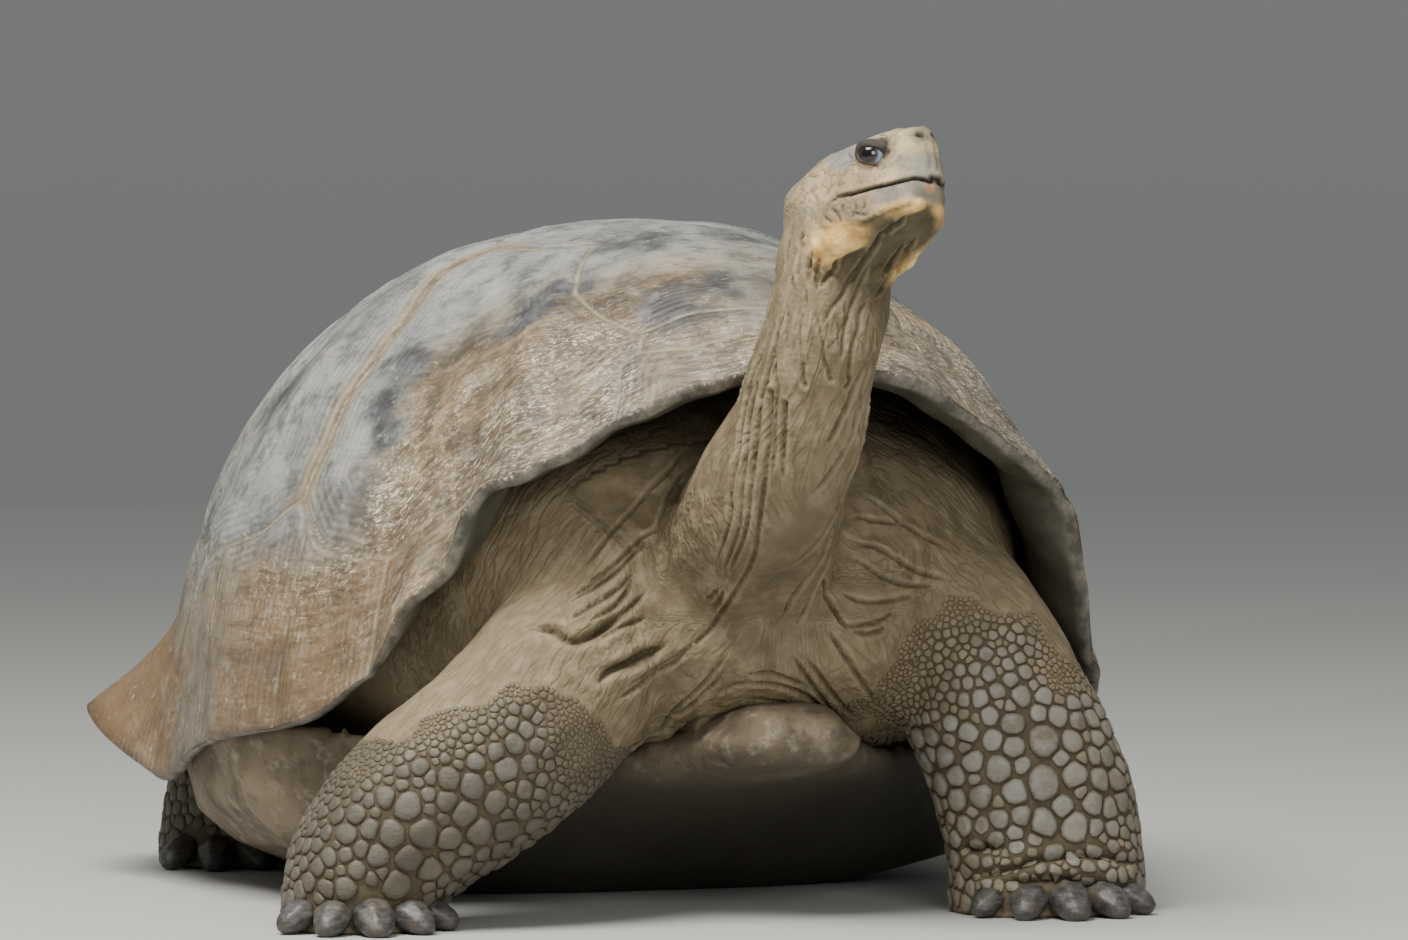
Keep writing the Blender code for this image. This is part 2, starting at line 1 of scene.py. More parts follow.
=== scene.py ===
# %% [markdown]
# # A giant tortoise, dressed over its packed solids
# The model is a still, life-size tortoise that faces -Y, with its left side at +X and its soles
# at z = 0. The packed solids give every place and size. This lesson lays a finished surface over
# them: one wrinkled skin, horny scales on the legs, a shell with its scutes, nails and eyes.

# %% Load the packed solids
import itertools
import math

import bmesh
import bpy
import numpy as np
from mathutils import Matrix, Vector
from mathutils.bvhtree import BVHTree
from mathutils.kdtree import KDTree


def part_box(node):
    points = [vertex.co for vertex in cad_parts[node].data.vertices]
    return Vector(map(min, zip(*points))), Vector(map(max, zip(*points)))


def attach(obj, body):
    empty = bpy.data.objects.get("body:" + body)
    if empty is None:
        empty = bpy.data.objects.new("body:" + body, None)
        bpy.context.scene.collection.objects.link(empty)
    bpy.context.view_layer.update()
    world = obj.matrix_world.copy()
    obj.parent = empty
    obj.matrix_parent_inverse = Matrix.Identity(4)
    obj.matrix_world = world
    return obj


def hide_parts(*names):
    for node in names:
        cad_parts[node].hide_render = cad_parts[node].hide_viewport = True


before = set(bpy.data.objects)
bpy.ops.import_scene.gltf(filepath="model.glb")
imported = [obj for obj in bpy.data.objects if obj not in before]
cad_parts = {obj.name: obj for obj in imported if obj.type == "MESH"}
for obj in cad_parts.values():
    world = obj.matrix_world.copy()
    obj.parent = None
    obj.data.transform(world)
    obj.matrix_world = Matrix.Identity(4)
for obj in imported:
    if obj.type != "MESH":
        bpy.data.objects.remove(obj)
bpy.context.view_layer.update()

# %% [markdown]
# ## Camera, floor and light
# The tortoise is seen from low in front and a little to its right, through a long lens from seven
# metres away, so nothing looks stretched. A long lens is a large focal length with the camera
# moved back. The light is that of an overcast day: a sky that is brightest overhead, with one
# large soft lamp high on the left and a weaker one low in front.

# %% Camera, floor and light
def aim(obj, place, target):
    """Puts a camera or lamp in its place and turns its -Z to the target."""
    obj.location = place
    obj.rotation_euler = (Vector(target) - Vector(place)).to_track_quat("-Z", "Y").to_euler()
    bpy.context.scene.collection.objects.link(obj)
    return obj


camera = bpy.data.objects.new("camera", bpy.data.cameras.new("camera"))
camera.data.sensor_width = 36
camera.data.lens = 178.98
aim(camera, (-2.3216, -6.5379, 0.5982), (0.0717, 0.0377, 0.415))
bpy.context.scene.camera = camera


def soft_lamp(name, place, target, size, power, color=(1, 1, 1)):
    lamp = bpy.data.lights.new(name, "AREA")
    lamp.shape, lamp.size = "DISK", size
    lamp.energy, lamp.color = power, color
    return aim(bpy.data.objects.new(name, lamp), place, target)


soft_lamp("lamp_above", (-2.0, -1.5, 4.4), (0, -0.1, 0.3), 3.0, 430, (1, 0.98, 0.94))
soft_lamp("lamp_front", (-0.6, -4.3, 1.9), (0, -0.2, 0.25), 1.8, 60, (1, 0.98, 0.95))

sky = bpy.data.worlds.new("sky")
sky.use_nodes = True
sky_nodes, sky_links = sky.node_tree.nodes, sky.node_tree.links
direction = sky_nodes.new("ShaderNodeTexCoord").outputs["Generated"]
upward = sky_nodes.new("ShaderNodeSeparateXYZ")
fade = sky_nodes.new("ShaderNodeValToRGB")
fade.color_ramp.elements[0].color = (0.42, 0.44, 0.43, 1)
fade.color_ramp.elements[1].color = (1.0, 1.05, 1.03, 1)
sky_links.new(direction, upward.inputs[0])
sky_links.new(upward.outputs[2], fade.inputs[0])
sky_links.new(fade.outputs[0], sky_nodes["Background"].inputs["Color"])
sky_nodes["Background"].inputs["Strength"].default_value = 0.42
bpy.context.scene.world = sky

floor_bm = bmesh.new()
bmesh.ops.create_grid(floor_bm, x_segments=1, y_segments=1, size=12)
floor = bpy.data.objects.new("floor", bpy.data.meshes.new("floor"))
floor_bm.to_mesh(floor.data)
floor_bm.free()
bpy.context.scene.collection.objects.link(floor)
floor_finish = bpy.data.materials.new("pale_floor")
floor_finish.use_nodes = True
floor_shader = floor_finish.node_tree.nodes["Principled BSDF"]
floor_shader.inputs["Base Color"].default_value = (0.46, 0.455, 0.44, 1)
floor_shader.inputs["Roughness"].default_value = 0.85
floor.data.materials.append(floor_finish)
print("camera at", [round(v, 3) for v in camera.location])

# %% [markdown]
# ## Helpers for shapes
# Skin is modelled here as a sculptor works: a plain closed form first, then folds pressed in and
# swellings raised. numpy moves all the points of a mesh at once, so these helpers read a mesh's
# points into an array and write them back. `lumps` is a smooth noise worked out on a lattice: it
# gives the same numbers on every run.

# %% Helpers for points
def points_of(obj):
    out = np.empty(len(obj.data.vertices) * 3)
    obj.data.vertices.foreach_get("co", out)
    return out.reshape(-1, 3)


def normals_of(obj):
    out = np.empty(len(obj.data.vertices) * 3, np.float32)
    obj.data.vertex_normals.foreach_get("vector", out)
    return out.reshape(-1, 3).astype(float)


def edges_of(obj):
    out = np.empty(len(obj.data.edges) * 2, np.int32)
    obj.data.edges.foreach_get("vertices", out)
    return out.reshape(-1, 2)


def put_points(obj, points):
    obj.data.vertices.foreach_set("co", np.ravel(points))
    obj.data.update()


def put_marks(obj, marks):
    """Stores marks of one number per point, for the material to read by name."""
    for name, values in marks.items():
        layer = obj.data.attributes.new(name, "FLOAT", "POINT")
        layer.data.foreach_set("value", np.asarray(values, np.float32))


def put_flow(obj, vectors):
    """Stores one vector per point: a place in a space that follows the form."""
    layer = obj.data.attributes.new("flow", "FLOAT_VECTOR", "POINT")
    layer.data.foreach_set("vector", vectors.astype(np.float32).ravel())


def above_floor(points, lowest=0.0004):
    """These points, with the lowest of them lifted off the floor."""
    points[:, 2] = np.maximum(points[:, 2], lowest)
    return points


def lumps(points, size, seed=0):
    """Smooth noise from about -1 to 1 with lumps of this size, in metres."""
    spot = np.asarray(points) / size
    cell = np.floor(spot).astype(np.int64)
    part = spot - cell
    part = part * part * (3 - 2 * part)
    total = 0
    for corner in itertools.product((0, 1), repeat=3):
        key = ((cell + corner) * (73856093, 19349663, 83492791)).sum(-1) + seed * 7919
        key = (key ^ (key >> 13)) * 1274126177 & 0x7FFFFFFF
        value = ((key ^ (key >> 15)) & 0xFFFF) / 32768 - 1
        total = total + value * np.prod(np.where(corner, part, 1 - part), axis=-1)
    return total


def bell(distance, width):
    """1 at no distance, falling smoothly to nothing at about twice the width."""
    return np.exp(-((distance / width) ** 2))


def ramp(value, low, high):
    """0 below low, 1 above high, with a smooth rise between; turned round if high is lower."""
    part = np.clip((value - low) / (high - low), 0, 1)
    return part * part * (3 - 2 * part)


print("lumps runs from", lumps(np.random.default_rng(1).random((500, 3)), 0.1).min())

# %% [markdown]
# Meshes are made, joined and cut by the next few helpers. A modifier is run once and its result
# kept, so nothing is left to be worked out later. `relax` moves each point towards the middle of
# its neighbours and then almost as far back, as plain smoothing would shrink the model.

# %% Helpers for meshes
def object_of(bm, name):
    """Makes a finished bmesh an object of the scene."""
    mesh = bpy.data.meshes.new(name)
    bm.to_mesh(mesh)
    bm.free()
    mesh.shade_smooth()
    obj = bpy.data.objects.new(name, mesh)
    bpy.context.scene.collection.objects.link(obj)
    return obj


def copy_of(name, nodes, swell=0.0):
    """One object from copies of these solids, with their loose triangles merged."""
    bm = bmesh.new()
    for node in nodes:
        bm.from_mesh(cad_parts[node].data)
    bmesh.ops.remove_doubles(bm, verts=bm.verts, dist=1e-6)
    bm.normal_update()
    for vert in bm.verts:
        vert.co += vert.normal * swell
    return object_of(bm, name)


def shape_with(obj, kind, **settings):
    """Runs one modifier on the object and keeps its result as the mesh."""
    modifier = obj.modifiers.new(kind.title(), kind)
    for key, value in settings.items():
        setattr(modifier, key, value)
    graph = bpy.context.evaluated_depsgraph_get()
    mesh = bpy.data.meshes.new_from_object(obj.evaluated_get(graph))
    obj.modifiers.clear()
    obj.data = mesh
    mesh.shade_smooth()


def relax(obj, times, hold=1.0, back=0.53):
    """Rounds a mesh off without shrinking it: each step in is followed by a step back out."""
    points, edges = points_of(obj), edges_of(obj)
    first, second = edges.T
    count = np.bincount(edges.ravel(), minlength=len(points))[:, None]
    for amount in (0.5, -back) * times:
        total = [
            np.bincount(first, points[second, k], len(points))
            + np.bincount(second, points[first, k], len(points))
            for k in range(3)
        ]
        points = points + (np.stack(total, 1) / count - points) * amount * hold
    put_points(obj, points)


def refine(obj, length):
    """Cuts every edge longer than length(points) asks for at its middle, until few are left."""
    bm = bmesh.new()
    bm.from_mesh(obj.data)
    for _ in range(4):
        bm.verts.ensure_lookup_table()
        points = np.array([vert.co for vert in bm.verts])
        wanted = length(points)
        long = [
            edge
            for edge in bm.edges
            if edge.calc_length() > 1.35 * max(wanted[v.index] for v in edge.verts)
        ]
        if not long:
            break
        bmesh.ops.subdivide_edges(bm, edges=long, cuts=1, use_grid_fill=True)
        bm.verts.index_update()
    bmesh.ops.triangulate(bm, faces=[face for face in bm.faces if len(face.verts) > 4])
    bm.to_mesh(obj.data)
    bm.free()
    obj.data.shade_smooth()


def surface_of(obj):
    """A lookup of the nearest point of this object's surface."""
    bm = bmesh.new()
    bm.from_mesh(obj.data)
    tree = BVHTree.FromBMesh(bm)
    bm.free()
    return tree


def lookup_of(points):
    """A lookup of the nearest of these points."""
    lookup = KDTree(len(points))
    for index, point in enumerate(points):
        lookup.insert(point, index)
    lookup.balance()
    return lookup


print("mesh helpers ready, with", len(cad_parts), "solids to copy from")

# %% [markdown]
# ## The skin: one closed form
# A tortoise's skin is one loose, leathery bag that runs from the beak to the toes. The solids part
# it at the neck, the head and the feet, so they can't be dressed one by one without seams. Copies
# of all the flesh solids are swelled a hair so that they touch, melted together by a voxel remesh,
# rounded off, and drawn in by the thickness of the horn that will lie over them. Points are spent
# where they are seen: the trunk inside the shell is thinned, and the neck, face and eyelids are
# cut finer.

# %% Melt the flesh into one skin
FLESH = [
    name
    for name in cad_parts
    if name.split("_")[0] in ("trunk", "neck", "head", "lower", "tail", "eye")
    or name.startswith(("foreleg", "forefoot", "hindleg", "hindfoot"))
]
skin = copy_of("skin", FLESH, swell=0.0006)
shape_with(skin, "REMESH", mode="VOXEL", voxel_size=0.0070)
print("melted skin:", len(skin.data.vertices), "points")

# %% [markdown]
# The head is turned, lifted and rolled a little to one side. Its landmarks are simplest in a
# frame of its own, which starts where it joins the neck: along the snout, to its left, and up.

# %% The head's own frame
HEAD_BASE = np.array((0.0079, -0.5584, 0.6230))
heading, lift, roll = math.radians(22), math.radians(26), math.radians(-12)
head_along = Vector(
    (math.sin(heading) * math.cos(lift), -math.cos(heading) * math.cos(lift), math.sin(lift))
)
head_side = Matrix.Rotation(roll, 3, head_along) @ Vector(
    (math.cos(heading), math.sin(heading), 0)
)
HEAD_AXES = np.array((head_along, head_side, head_along.cross(head_side)))


def in_head(points):
    """Points in the head's own frame: along the snout, to its left, and up its crown."""
    return (points - HEAD_BASE) @ HEAD_AXES.T


def from_head(points):
    return np.asarray(points) @ HEAD_AXES + HEAD_BASE


EYES = [np.array((0.0702, side * 0.0310, 0.0664)) for side in (1, -1)]
print("the snout points along", HEAD_AXES[0].round(2))

# %% [markdown]
# Now the skin is thinned where nobody looks, and rounded off. The face is held back in this, to
# keep its planes, while the tip of the snout is rounded a little more.

# %% Thin the hidden skin and round it off
def hidden(points):
    """True deep inside the shell, where the skin can't be seen."""
    x, y, z = points.T
    inside = ramp(y, -0.24, -0.17) * ramp(z, 0.10, 0.16) * ramp(abs(x), 0.36, 0.30)
    return inside * ramp(y, 0.52, 0.44) > 0.5


def thin_out(name, chosen, drop):
    """Drops this part of the chosen points' faces, and gives the share that was chosen."""
    group = skin.vertex_groups.new(name=name)
    for index in np.flatnonzero(chosen).tolist():
        group.add([index], 1.0, "REPLACE")
    share = float(chosen.mean())
    shape_with(skin, "DECIMATE", ratio=1 - share * drop, vertex_group=name)
    return share


SKIN_IN = 0.0012  # how far the skin lies inside the solids
share = thin_out("hidden", hidden(points_of(skin)), 0.93)
points = points_of(skin)
thin_out("rear", (points[:, 1] > -0.12) & ~hidden(points), 0.5)
relax(skin, 7, hold=(1 - 0.6 * ramp(in_head(points_of(skin))[:, 0], 0.02, 0.06))[:, None])
along, _, up = in_head(points_of(skin)).T
tip = ramp(up, 0.062, 0.078) * ramp(along, 0.080, 0.098)
relax(skin, 5, hold=tip[:, None], back=0.1)
put_points(skin, points_of(skin) - normals_of(skin) * (SKIN_IN + 0.0010 * tip)[:, None])
print("rounded skin:", len(skin.data.vertices), "points,", f"{share:.0%} of it hidden")

# %% [markdown]
# ## Folds of the neck and chest
# The neck is held high, so its skin is pulled into long cords down both sides, and where it meets
# the chest the spare skin drapes towards the shoulders like cloth over a chair. Noise alone can't
# draw folds that run from one place to another. Each fold is therefore laid down as a few points
# along its crease, in millimetres, and drawn through them as a smooth line on the skin. A crease
# is pressed in where a line passes, and the skin swells between neighbouring lines.

# %% Lines of the folds
NECK_FOLDS = (
    ((-79, -502, 505), (-84, -497, 474), (-92, -500, 442), (-95, -495, 410), (-94, -491, 386),
     (-96, -477, 364), (-96, -453, 342), (-94, -441, 329)),
    ((-76, -514, 509), (-80, -506, 477), (-86, -508, 442), (-88, -504, 407), (-87, -495, 379),
     (-89, -479, 357), (-89, -455, 335), (-87, -439, 320)),
    ((-72, -528, 509), (-76, -520, 481), (-79, -516, 449), (-82, -512, 414), (-81, -501, 382),
     (-83, -488, 361), (-85, -467, 339), (-82, -439, 317)),
    ((-66, -537, 495), (-66, -533, 471), (-66, -529, 443), (-66, -525, 421)),
    ((-60, -543, 492), (-59, -534, 443), (-57, -526, 414)),
    ((-87, -439, 320), (-87, -422, 311), (-91, -403, 304)),
    ((-82, -439, 317), (-80, -419, 305), (-83, -397, 297)),
    ((-1, -568, 509), (-9, -559, 485), (-17, -552, 464), (-23, -544, 446)),
    ((14, -555, 506), (9, -548, 481), (3, -543, 460), (-7, -540, 439), (-22, -530, 414),
     (-34, -523, 397)),
    ((20, -543, 491), (22, -528, 463), (17, -517, 435), (12, -502, 406), (-3, -501, 378),
     (-15, -494, 357), (-27, -484, 339), (-39, -468, 324)),
    ((13, -490, 388), (2, -489, 363), (0, -469, 338), (-7, -451, 316), (-12, -425, 297),
     (-8, -399, 274)),
    ((16, -466, 355), (13, -450, 333), (8, -433, 311), (8, -397, 288), (-2, -399, 271)),
    ((-61, -516, 601), (-63, -513, 588), (-65, -508, 572), (-68, -492, 543), (-71, -485, 527),
     (-74, -478, 510), (-77, -471, 496)),
    ((-59, -532, 603), (-62, -532, 589), (-64, -525, 574), (-67, -518, 557), (-71, -514, 542),
     (-75, -505, 526), (-78, -501, 510), (-81, -496, 496)),
    ((-60, -539, 584), (-63, -541, 570), (-67, -535, 553), (-68, -534, 539), (-71, -529, 522),
     (-73, -525, 506), (-75, -520, 494)),
    ((-59, -542, 585), (-60, -547, 570), (-61, -548, 557), (-61, -548, 547), (-62, -547, 534)),
    ((-54, -544, 609), (-56, -546, 595)),
    ((-50, -560, 583), (-51, -561, 570), (-54, -561, 558), (-52, -561, 544), (-50, -560, 530),
     (-49, -558, 516), (-47, -558, 506)),
    ((-47, -560, 602), (-47, -562, 588), (-47, -564, 574), (-49, -565, 558), (-47, -566, 548)),
    ((-44, -566, 580), (-40, -570, 570), (-39, -573, 560), (-36, -575, 544), (-34, -572, 532),
     (-29, -570, 522), (-25, -569, 511)),
    ((-43, -560, 623), (-44, -561, 613)),
    ((-34, -566, 612), (-38, -567, 601), (-39, -568, 590)),
    ((-19, -566, 616), (-27, -568, 608), (-34, -569, 601), (-39, -567, 595)),
    ((5, -570, 616), (-4, -565, 608), (-9, -567, 601), (-17, -571, 589), (-26, -572, 580),
     (-31, -574, 572), (-36, -575, 562), (-38, -574, 555)),
    ((11, -582, 621), (9, -566, 613), (4, -565, 602), (-2, -568, 590), (-7, -571, 581),
     (-11, -573, 570), (-14, -575, 565), (-17, -578, 551), (-19, -579, 537), (-22, -574, 525),
     (-26, -571, 518)),
    ((20, -563, 592), (10, -566, 584), (2, -570, 575), (0, -573, 562), (-5, -576, 551),
     (-9, -578, 541), (-10, -577, 530), (-10, -573, 518), (-7, -570, 511), (-12, -568, 505)),
    ((38, -576, 619), (39, -559, 611), (33, -557, 601), (22, -563, 590), (15, -565, 583)),
    ((17, -569, 553), (14, -570, 541), (9, -571, 531), (4, -570, 520), (0, -569, 511),
     (-6, -565, 499)),
    ((14, -569, 534), (12, -567, 524), (10, -564, 514), (8, -562, 505), (7, -557, 496)),
    ((-63, -534, 583), (-65, -536, 569), (-66, -537, 553), (-67, -537, 534), (-68, -536, 518),
     (-66, -539, 506), (-65, -538, 496)),
)
THROAT_FOLDS = (
    ((5, -630, 653), (5, -609, 637), (4, -587, 625), (2, -571, 617), (-3, -565, 610),
     (-9, -567, 602), (-14, -569, 596)),
    ((34, -608, 635), (32, -586, 623), (32, -561, 612), (26, -560, 597)),
    ((-21, -579, 623), (-23, -566, 615), (-33, -569, 604), (-38, -567, 596)),
    ((-43, -565, 633), (-43, -560, 618), (-45, -562, 605), (-45, -562, 596)),
    ((26, -637, 659), (15, -633, 653), (8, -628, 646), (9, -610, 637)),
    ((-37, -569, 627), (-38, -565, 612), (-39, -566, 597)),
    ((-48, -546, 635), (-50, -549, 618), (-53, -551, 602)),
    ((3, -587, 625), (2, -565, 614), (-4, -566, 602), (-8, -568, 596)),
    ((44, -619, 642), (40, -602, 632), (40, -578, 620), (44, -547, 605), (34, -558, 596)),
    ((-49, -527, 662), (-52, -528, 645), (-55, -529, 629), (-58, -531, 612)),
    ((-45, -550, 647), (-47, -545, 640), (-49, -547, 628)),
)
CHEST_FOLDS = (
    ((-69, -534, 502), (-69, -530, 478), (-71, -526, 443), (-72, -516, 407), (-72, -505, 379),
     (-70, -488, 352), (-71, -462, 328), (-74, -429, 305), (-75, -390, 282), (-92, -385, 264),
     (-118, -372, 246), (-153, -387, 230), (-195, -404, 210)),
    ((16, -442, 329), (35, -391, 306), (46, -394, 291), (61, -396, 275)),
    ((-6, -399, 264), (17, -390, 234), (47, -360, 207), (83, -317, 182)),
    ((6, -398, 260), (27, -393, 238), (58, -363, 210), (106, -310, 181)),
    ((33, -396, 288), (49, -396, 259), (81, -373, 225), (118, -329, 196)),
    ((-112, -378, 264), (-147, -379, 254), (-179, -396, 238), (-196, -400, 228)),
    ((-92, -385, 264), (-114, -371, 243), (-149, -385, 226), (-176, -396, 211)),
    ((-47, -397, 275), (-67, -389, 246), (-79, -370, 224), (-95, -341, 201), (-105, -303, 178),
     (-166, -379, 166)),
    ((-59, -346, 197), (-71, -316, 181), (-68, -253, 159), (-73, -224, 143), (-75, -174, 121)),
    ((-58, -386, 239), (-74, -366, 217), (-85, -344, 201), (-104, -322, 189)),
    ((-52, -358, 205), (-35, -365, 209), (-13, -366, 210), (13, -359, 205), (50, -323, 194),
     (76, -296, 181), (105, -260, 163), (132, -204, 142)),
    ((-62, -356, 205), (-51, -377, 224), (-26, -382, 227), (2, -379, 223), (30, -366, 211),
     (72, -326, 186)),
    ((-47, -386, 233), (-22, -391, 237), (3, -386, 230), (26, -376, 221)),
)
SHOULDER_FOLDS = (
    ((89, -339, 406), (108, -344, 392), (125, -349, 377), (144, -352, 364), (165, -349, 355),
     (187, -342, 347)),
    ((74, -356, 381), (88, -354, 379), (104, -354, 376), (120, -352, 374), (133, -349, 374)),
    ((66, -366, 364), (83, -367, 355), (99, -366, 351), (114, -368, 342), (134, -366, 330),
     (160, -361, 322), (188, -359, 320)),
    ((62, -373, 348), (80, -375, 337), (99, -378, 324), (115, -375, 318), (137, -369, 314),
     (168, -360, 313)),
    ((51, -387, 316), (63, -388, 305), (83, -387, 300), (105, -382, 301), (127, -374, 304),
     (145, -369, 307)),
    ((40, -390, 309), (44, -393, 295), (55, -395, 280), (78, -392, 280), (99, -386, 285),
     (118, -379, 297)),
    ((61, -396, 275), (77, -393, 271), (94, -389, 274), (105, -386, 279)),
    ((-61, -294, 455), (-87, -317, 431), (-109, -326, 413), (-144, -337, 381), (-179, -340, 343),
     (-206, -332, 325)),
    ((-66, -313, 438), (-92, -330, 408), (-115, -354, 378), (-138, -353, 357), (-167, -350, 332),
     (-203, -346, 315)),
    ((-124, -356, 364), (-145, -353, 350), (-174, -349, 325), (-213, -353, 304)),
    ((-121, -359, 368), (-139, -356, 350), (-161, -354, 329), (-191, -353, 311), (-216, -360, 297)),
    ((-137, -361, 339), (-155, -359, 318), (-178, -360, 304), (-204, -369, 291), (-220, -372, 284)),
    ((-144, -360, 332), (-152, -362, 311), (-173, -368, 294), (-198, -376, 284)),
    ((-129, -370, 318), (-150, -366, 297), (-177, -377, 280), (-202, -386, 268)),
    ((-130, -373, 290), (-151, -370, 283), (-174, -380, 275), (-191, -386, 266)),
)
HEAD_FOLDS = (
    ((-35, -573, 670), (-28, -584, 678), (-22, -592, 681), (-14, -603, 682)),
    ((-37, -574, 663), (-34, -585, 658), (-31, -592, 654)),
    ((-32, -579, 671), (-29, -590, 665), (-28, -596, 658), (-31, -592, 654)),
    ((-24, -592, 675), (-25, -595, 668), (-27, -594, 663)),
    ((-17, -602, 676), (-17, -607, 670), (-19, -606, 663), (-24, -601, 660)),
    ((-12, -610, 678), (-11, -614, 671), (-15, -610, 668)),
    ((-8, -565, 722), (-10, -576, 717), (-8, -585, 714)),
    ((3, -563, 730), (16, -580, 737), (16, -603, 734), (17, -611, 729)),
    ((9, -617, 710), (16, -618, 719), (20, -615, 727)),
    ((-34, -525, 697), (-32, -532, 700), (-32, -553, 698)),
    ((-39, -552, 685), (-37, -561, 678), (-39, -561, 672)),
    ((-28, -561, 700), (-28, -554, 705), (-25, -558, 709)),
    ((-2, -608, 704), (5, -616, 706), (11, -619, 710)),
    ((-10, -620, 663), (-17, -609, 665), (-22, -600, 666)),
)
LIMB_FOLDS = (
    ((182, -366, 63), (203, -400, 67), (213, -407, 72)),
    ((184, -368, 38), (201, -403, 42), (225, -421, 51), (250, -426, 58), (284, -428, 60),
     (322, -422, 55), (362, -393, 45)),
    ((200, -405, 32), (248, -431, 37), (281, -435, 33), (345, -415, 19)),
    ((-253, -360, 279), (-230, -372, 280), (-213, -383, 269), (-196, -384, 273), (-172, -375, 284),
     (-153, -364, 300)),
    ((-192, -400, 226), (-182, -396, 240), (-158, -386, 247), (-129, -371, 257), (-113, -377, 264)),
    ((-100, -200, 134), (-90, -229, 146), (-80, -267, 166), (-75, -313, 180), (-66, -346, 198)),
)
FOLDS = (  # lines, width of the crease, its depth, and the swelling beside it
    (NECK_FOLDS, 0.0019, 0.0033, 0.0026),
    (THROAT_FOLDS, 0.0020, 0.0032, 0.0022),
    (CHEST_FOLDS, 0.0021, 0.0038, 0.0030),
    (SHOULDER_FOLDS, 0.0020, 0.0031, 0.0020),
    (HEAD_FOLDS, 0.0015, 0.0010, 0.0006),
    (LIMB_FOLDS, 0.0045, 0.0090, 0.0040),
)
print("fold lines:", [len(lines) for lines, *_ in FOLDS])

# %% [markdown]
# Every line is sampled closely and laid on the skin. It fades out towards its ends, except where
# two cords of the neck meet end to end, a little over half a metre up.

# %% Lay the lines on the skin
CORDS_MEET = 0.502


def drawn(line, step=0.002):
    """A smooth line through a few points, sampled every few millimetres."""
    line = np.array(line) / 1000
    line = np.concatenate([2 * line[:1] - line[1:2], line, 2 * line[-1:] - line[-2:-1]])
    out = []
    for a, b, c, d in zip(line, line[1:], line[2:], line[3:]):
        t = np.linspace(0, 1, max(2, int(np.linalg.norm(c - b) / step)), endpoint=False)[:, None]
        curve = t * (2 * a - 5 * b + 4 * c - d + t * (3 * (b - c) + d - a))
        out.append(b + 0.5 * t * (c - a + curve))
    return np.concatenate(out)


def laid_on_skin(lines):
    """A lookup of all the sampled points of these lines, and the strength of each."""
    samples, fades = [], []
    for line in lines:
        run = drawn(line)
        samples += [skin_tree.find_nearest(Vector(point))[0] for point in run]
        part = np.linspace(0, 1, len(run))
        goes_on = [abs(spot[2] - CORDS_MEET) < 0.014 for spot in run[[0, -1]]]
        low, high = ((-1.0, -0.5) if on else (0.0, 0.22) for on in goes_on)
        fades += list(ramp(part, *low) * ramp(1 - part, *high))
    return lookup_of(samples), np.array(fades)


def in_front(points):
    """True on the neck, the chest and the forelegs, where folds are pressed in."""
    x, y, z = points.T
    return (y < -0.12) & (z > 0.015) & (abs(x) < 0.38)


def distance_to(lookup, fades, points, reach=0.06):
    """How far each point is from the nearest line, and how deep that line is there."""
    distance, depth = np.full(len(points), reach), np.zeros(len(points))
    for index in np.flatnonzero(in_front(points)).tolist():
        _, which, far = lookup.find(points[index])
        if far < reach:
            distance[index], depth[index] = far, fades[which]
    return distance, depth


skin_tree = surface_of(skin)
laid_folds = [laid_on_skin(lines) for lines, *_ in FOLDS]
print("fold samples:", [len(fades) for _, fades in laid_folds])

# %% [markdown]
# Points are spent where they are seen: near a crease, on the face and round the eyes. Every other
# place keeps the coarse net.

# %% Cut the skin finer where it is seen
def wanted_length(points):
    """The edge length that each place of the skin deserves, in metres."""
    local = in_head(points)
    along, _, up = local.T
    length = np.full(len(points), 0.0090)
    length[in_front(points) & (points[:, 1] < -0.33)] = 0.0066
    for folds in laid_folds:
        far, _ = distance_to(*folds, points, reach=0.02)
        length = np.minimum(length, 0.0020 + np.maximum(far - 0.0035, 0) * 0.8)
    far, _ = distance_to(*laid_folds[4], points, reach=0.008)  # the folds of the head
    length[far < 0.005] = 0.0013
    head = (along > -0.02) & (up > -0.02)
    length[head] = np.minimum(length[head], 0.0022)
    for eye in EYES:
        length[np.linalg.norm(local - eye, axis=1) < 0.023] = 0.0010
    lips = (along > 0.03) & (abs(up - 0.029) < 0.008)
    nose = (along > 0.108) & (abs(up - 0.070) < 0.010)
    length[(lips | nose) & head] = 0.0010
    return length


refine(skin, wanted_length)
relax(skin, 3, hold=(0.4 + 0.6 * (in_head(points_of(skin))[:, 0] < -0.03))[:, None])
print("fine skin:", len(skin.data.vertices), "points,", len(skin.data.polygons), "faces")

# %% [markdown]
# ## The head: lids, beak and nostrils
# The head gets the most care, because every eye goes to it first. In the head's own frame the
# landmarks are simple: a ball for each eye, a line for the mouth and two dots for the nostrils.
# Skin near an eye is pulled on to a ball a little larger than the eyeball, and inside an
# almond-shaped opening it dives under the eyeball, so that the rim stands up as a real lid does.

# %% Eyelids
EYE_OPEN = np.array((0.564, 0.718, -0.410))  # where the opening faces, on the left eye
EYE_LONG = np.array((0.537, -0.803, -0.253))  # the way its long axis lies
LID_LONG, LID_HIGH, LID_RADIUS = 0.0126, 0.0076, 0.0158


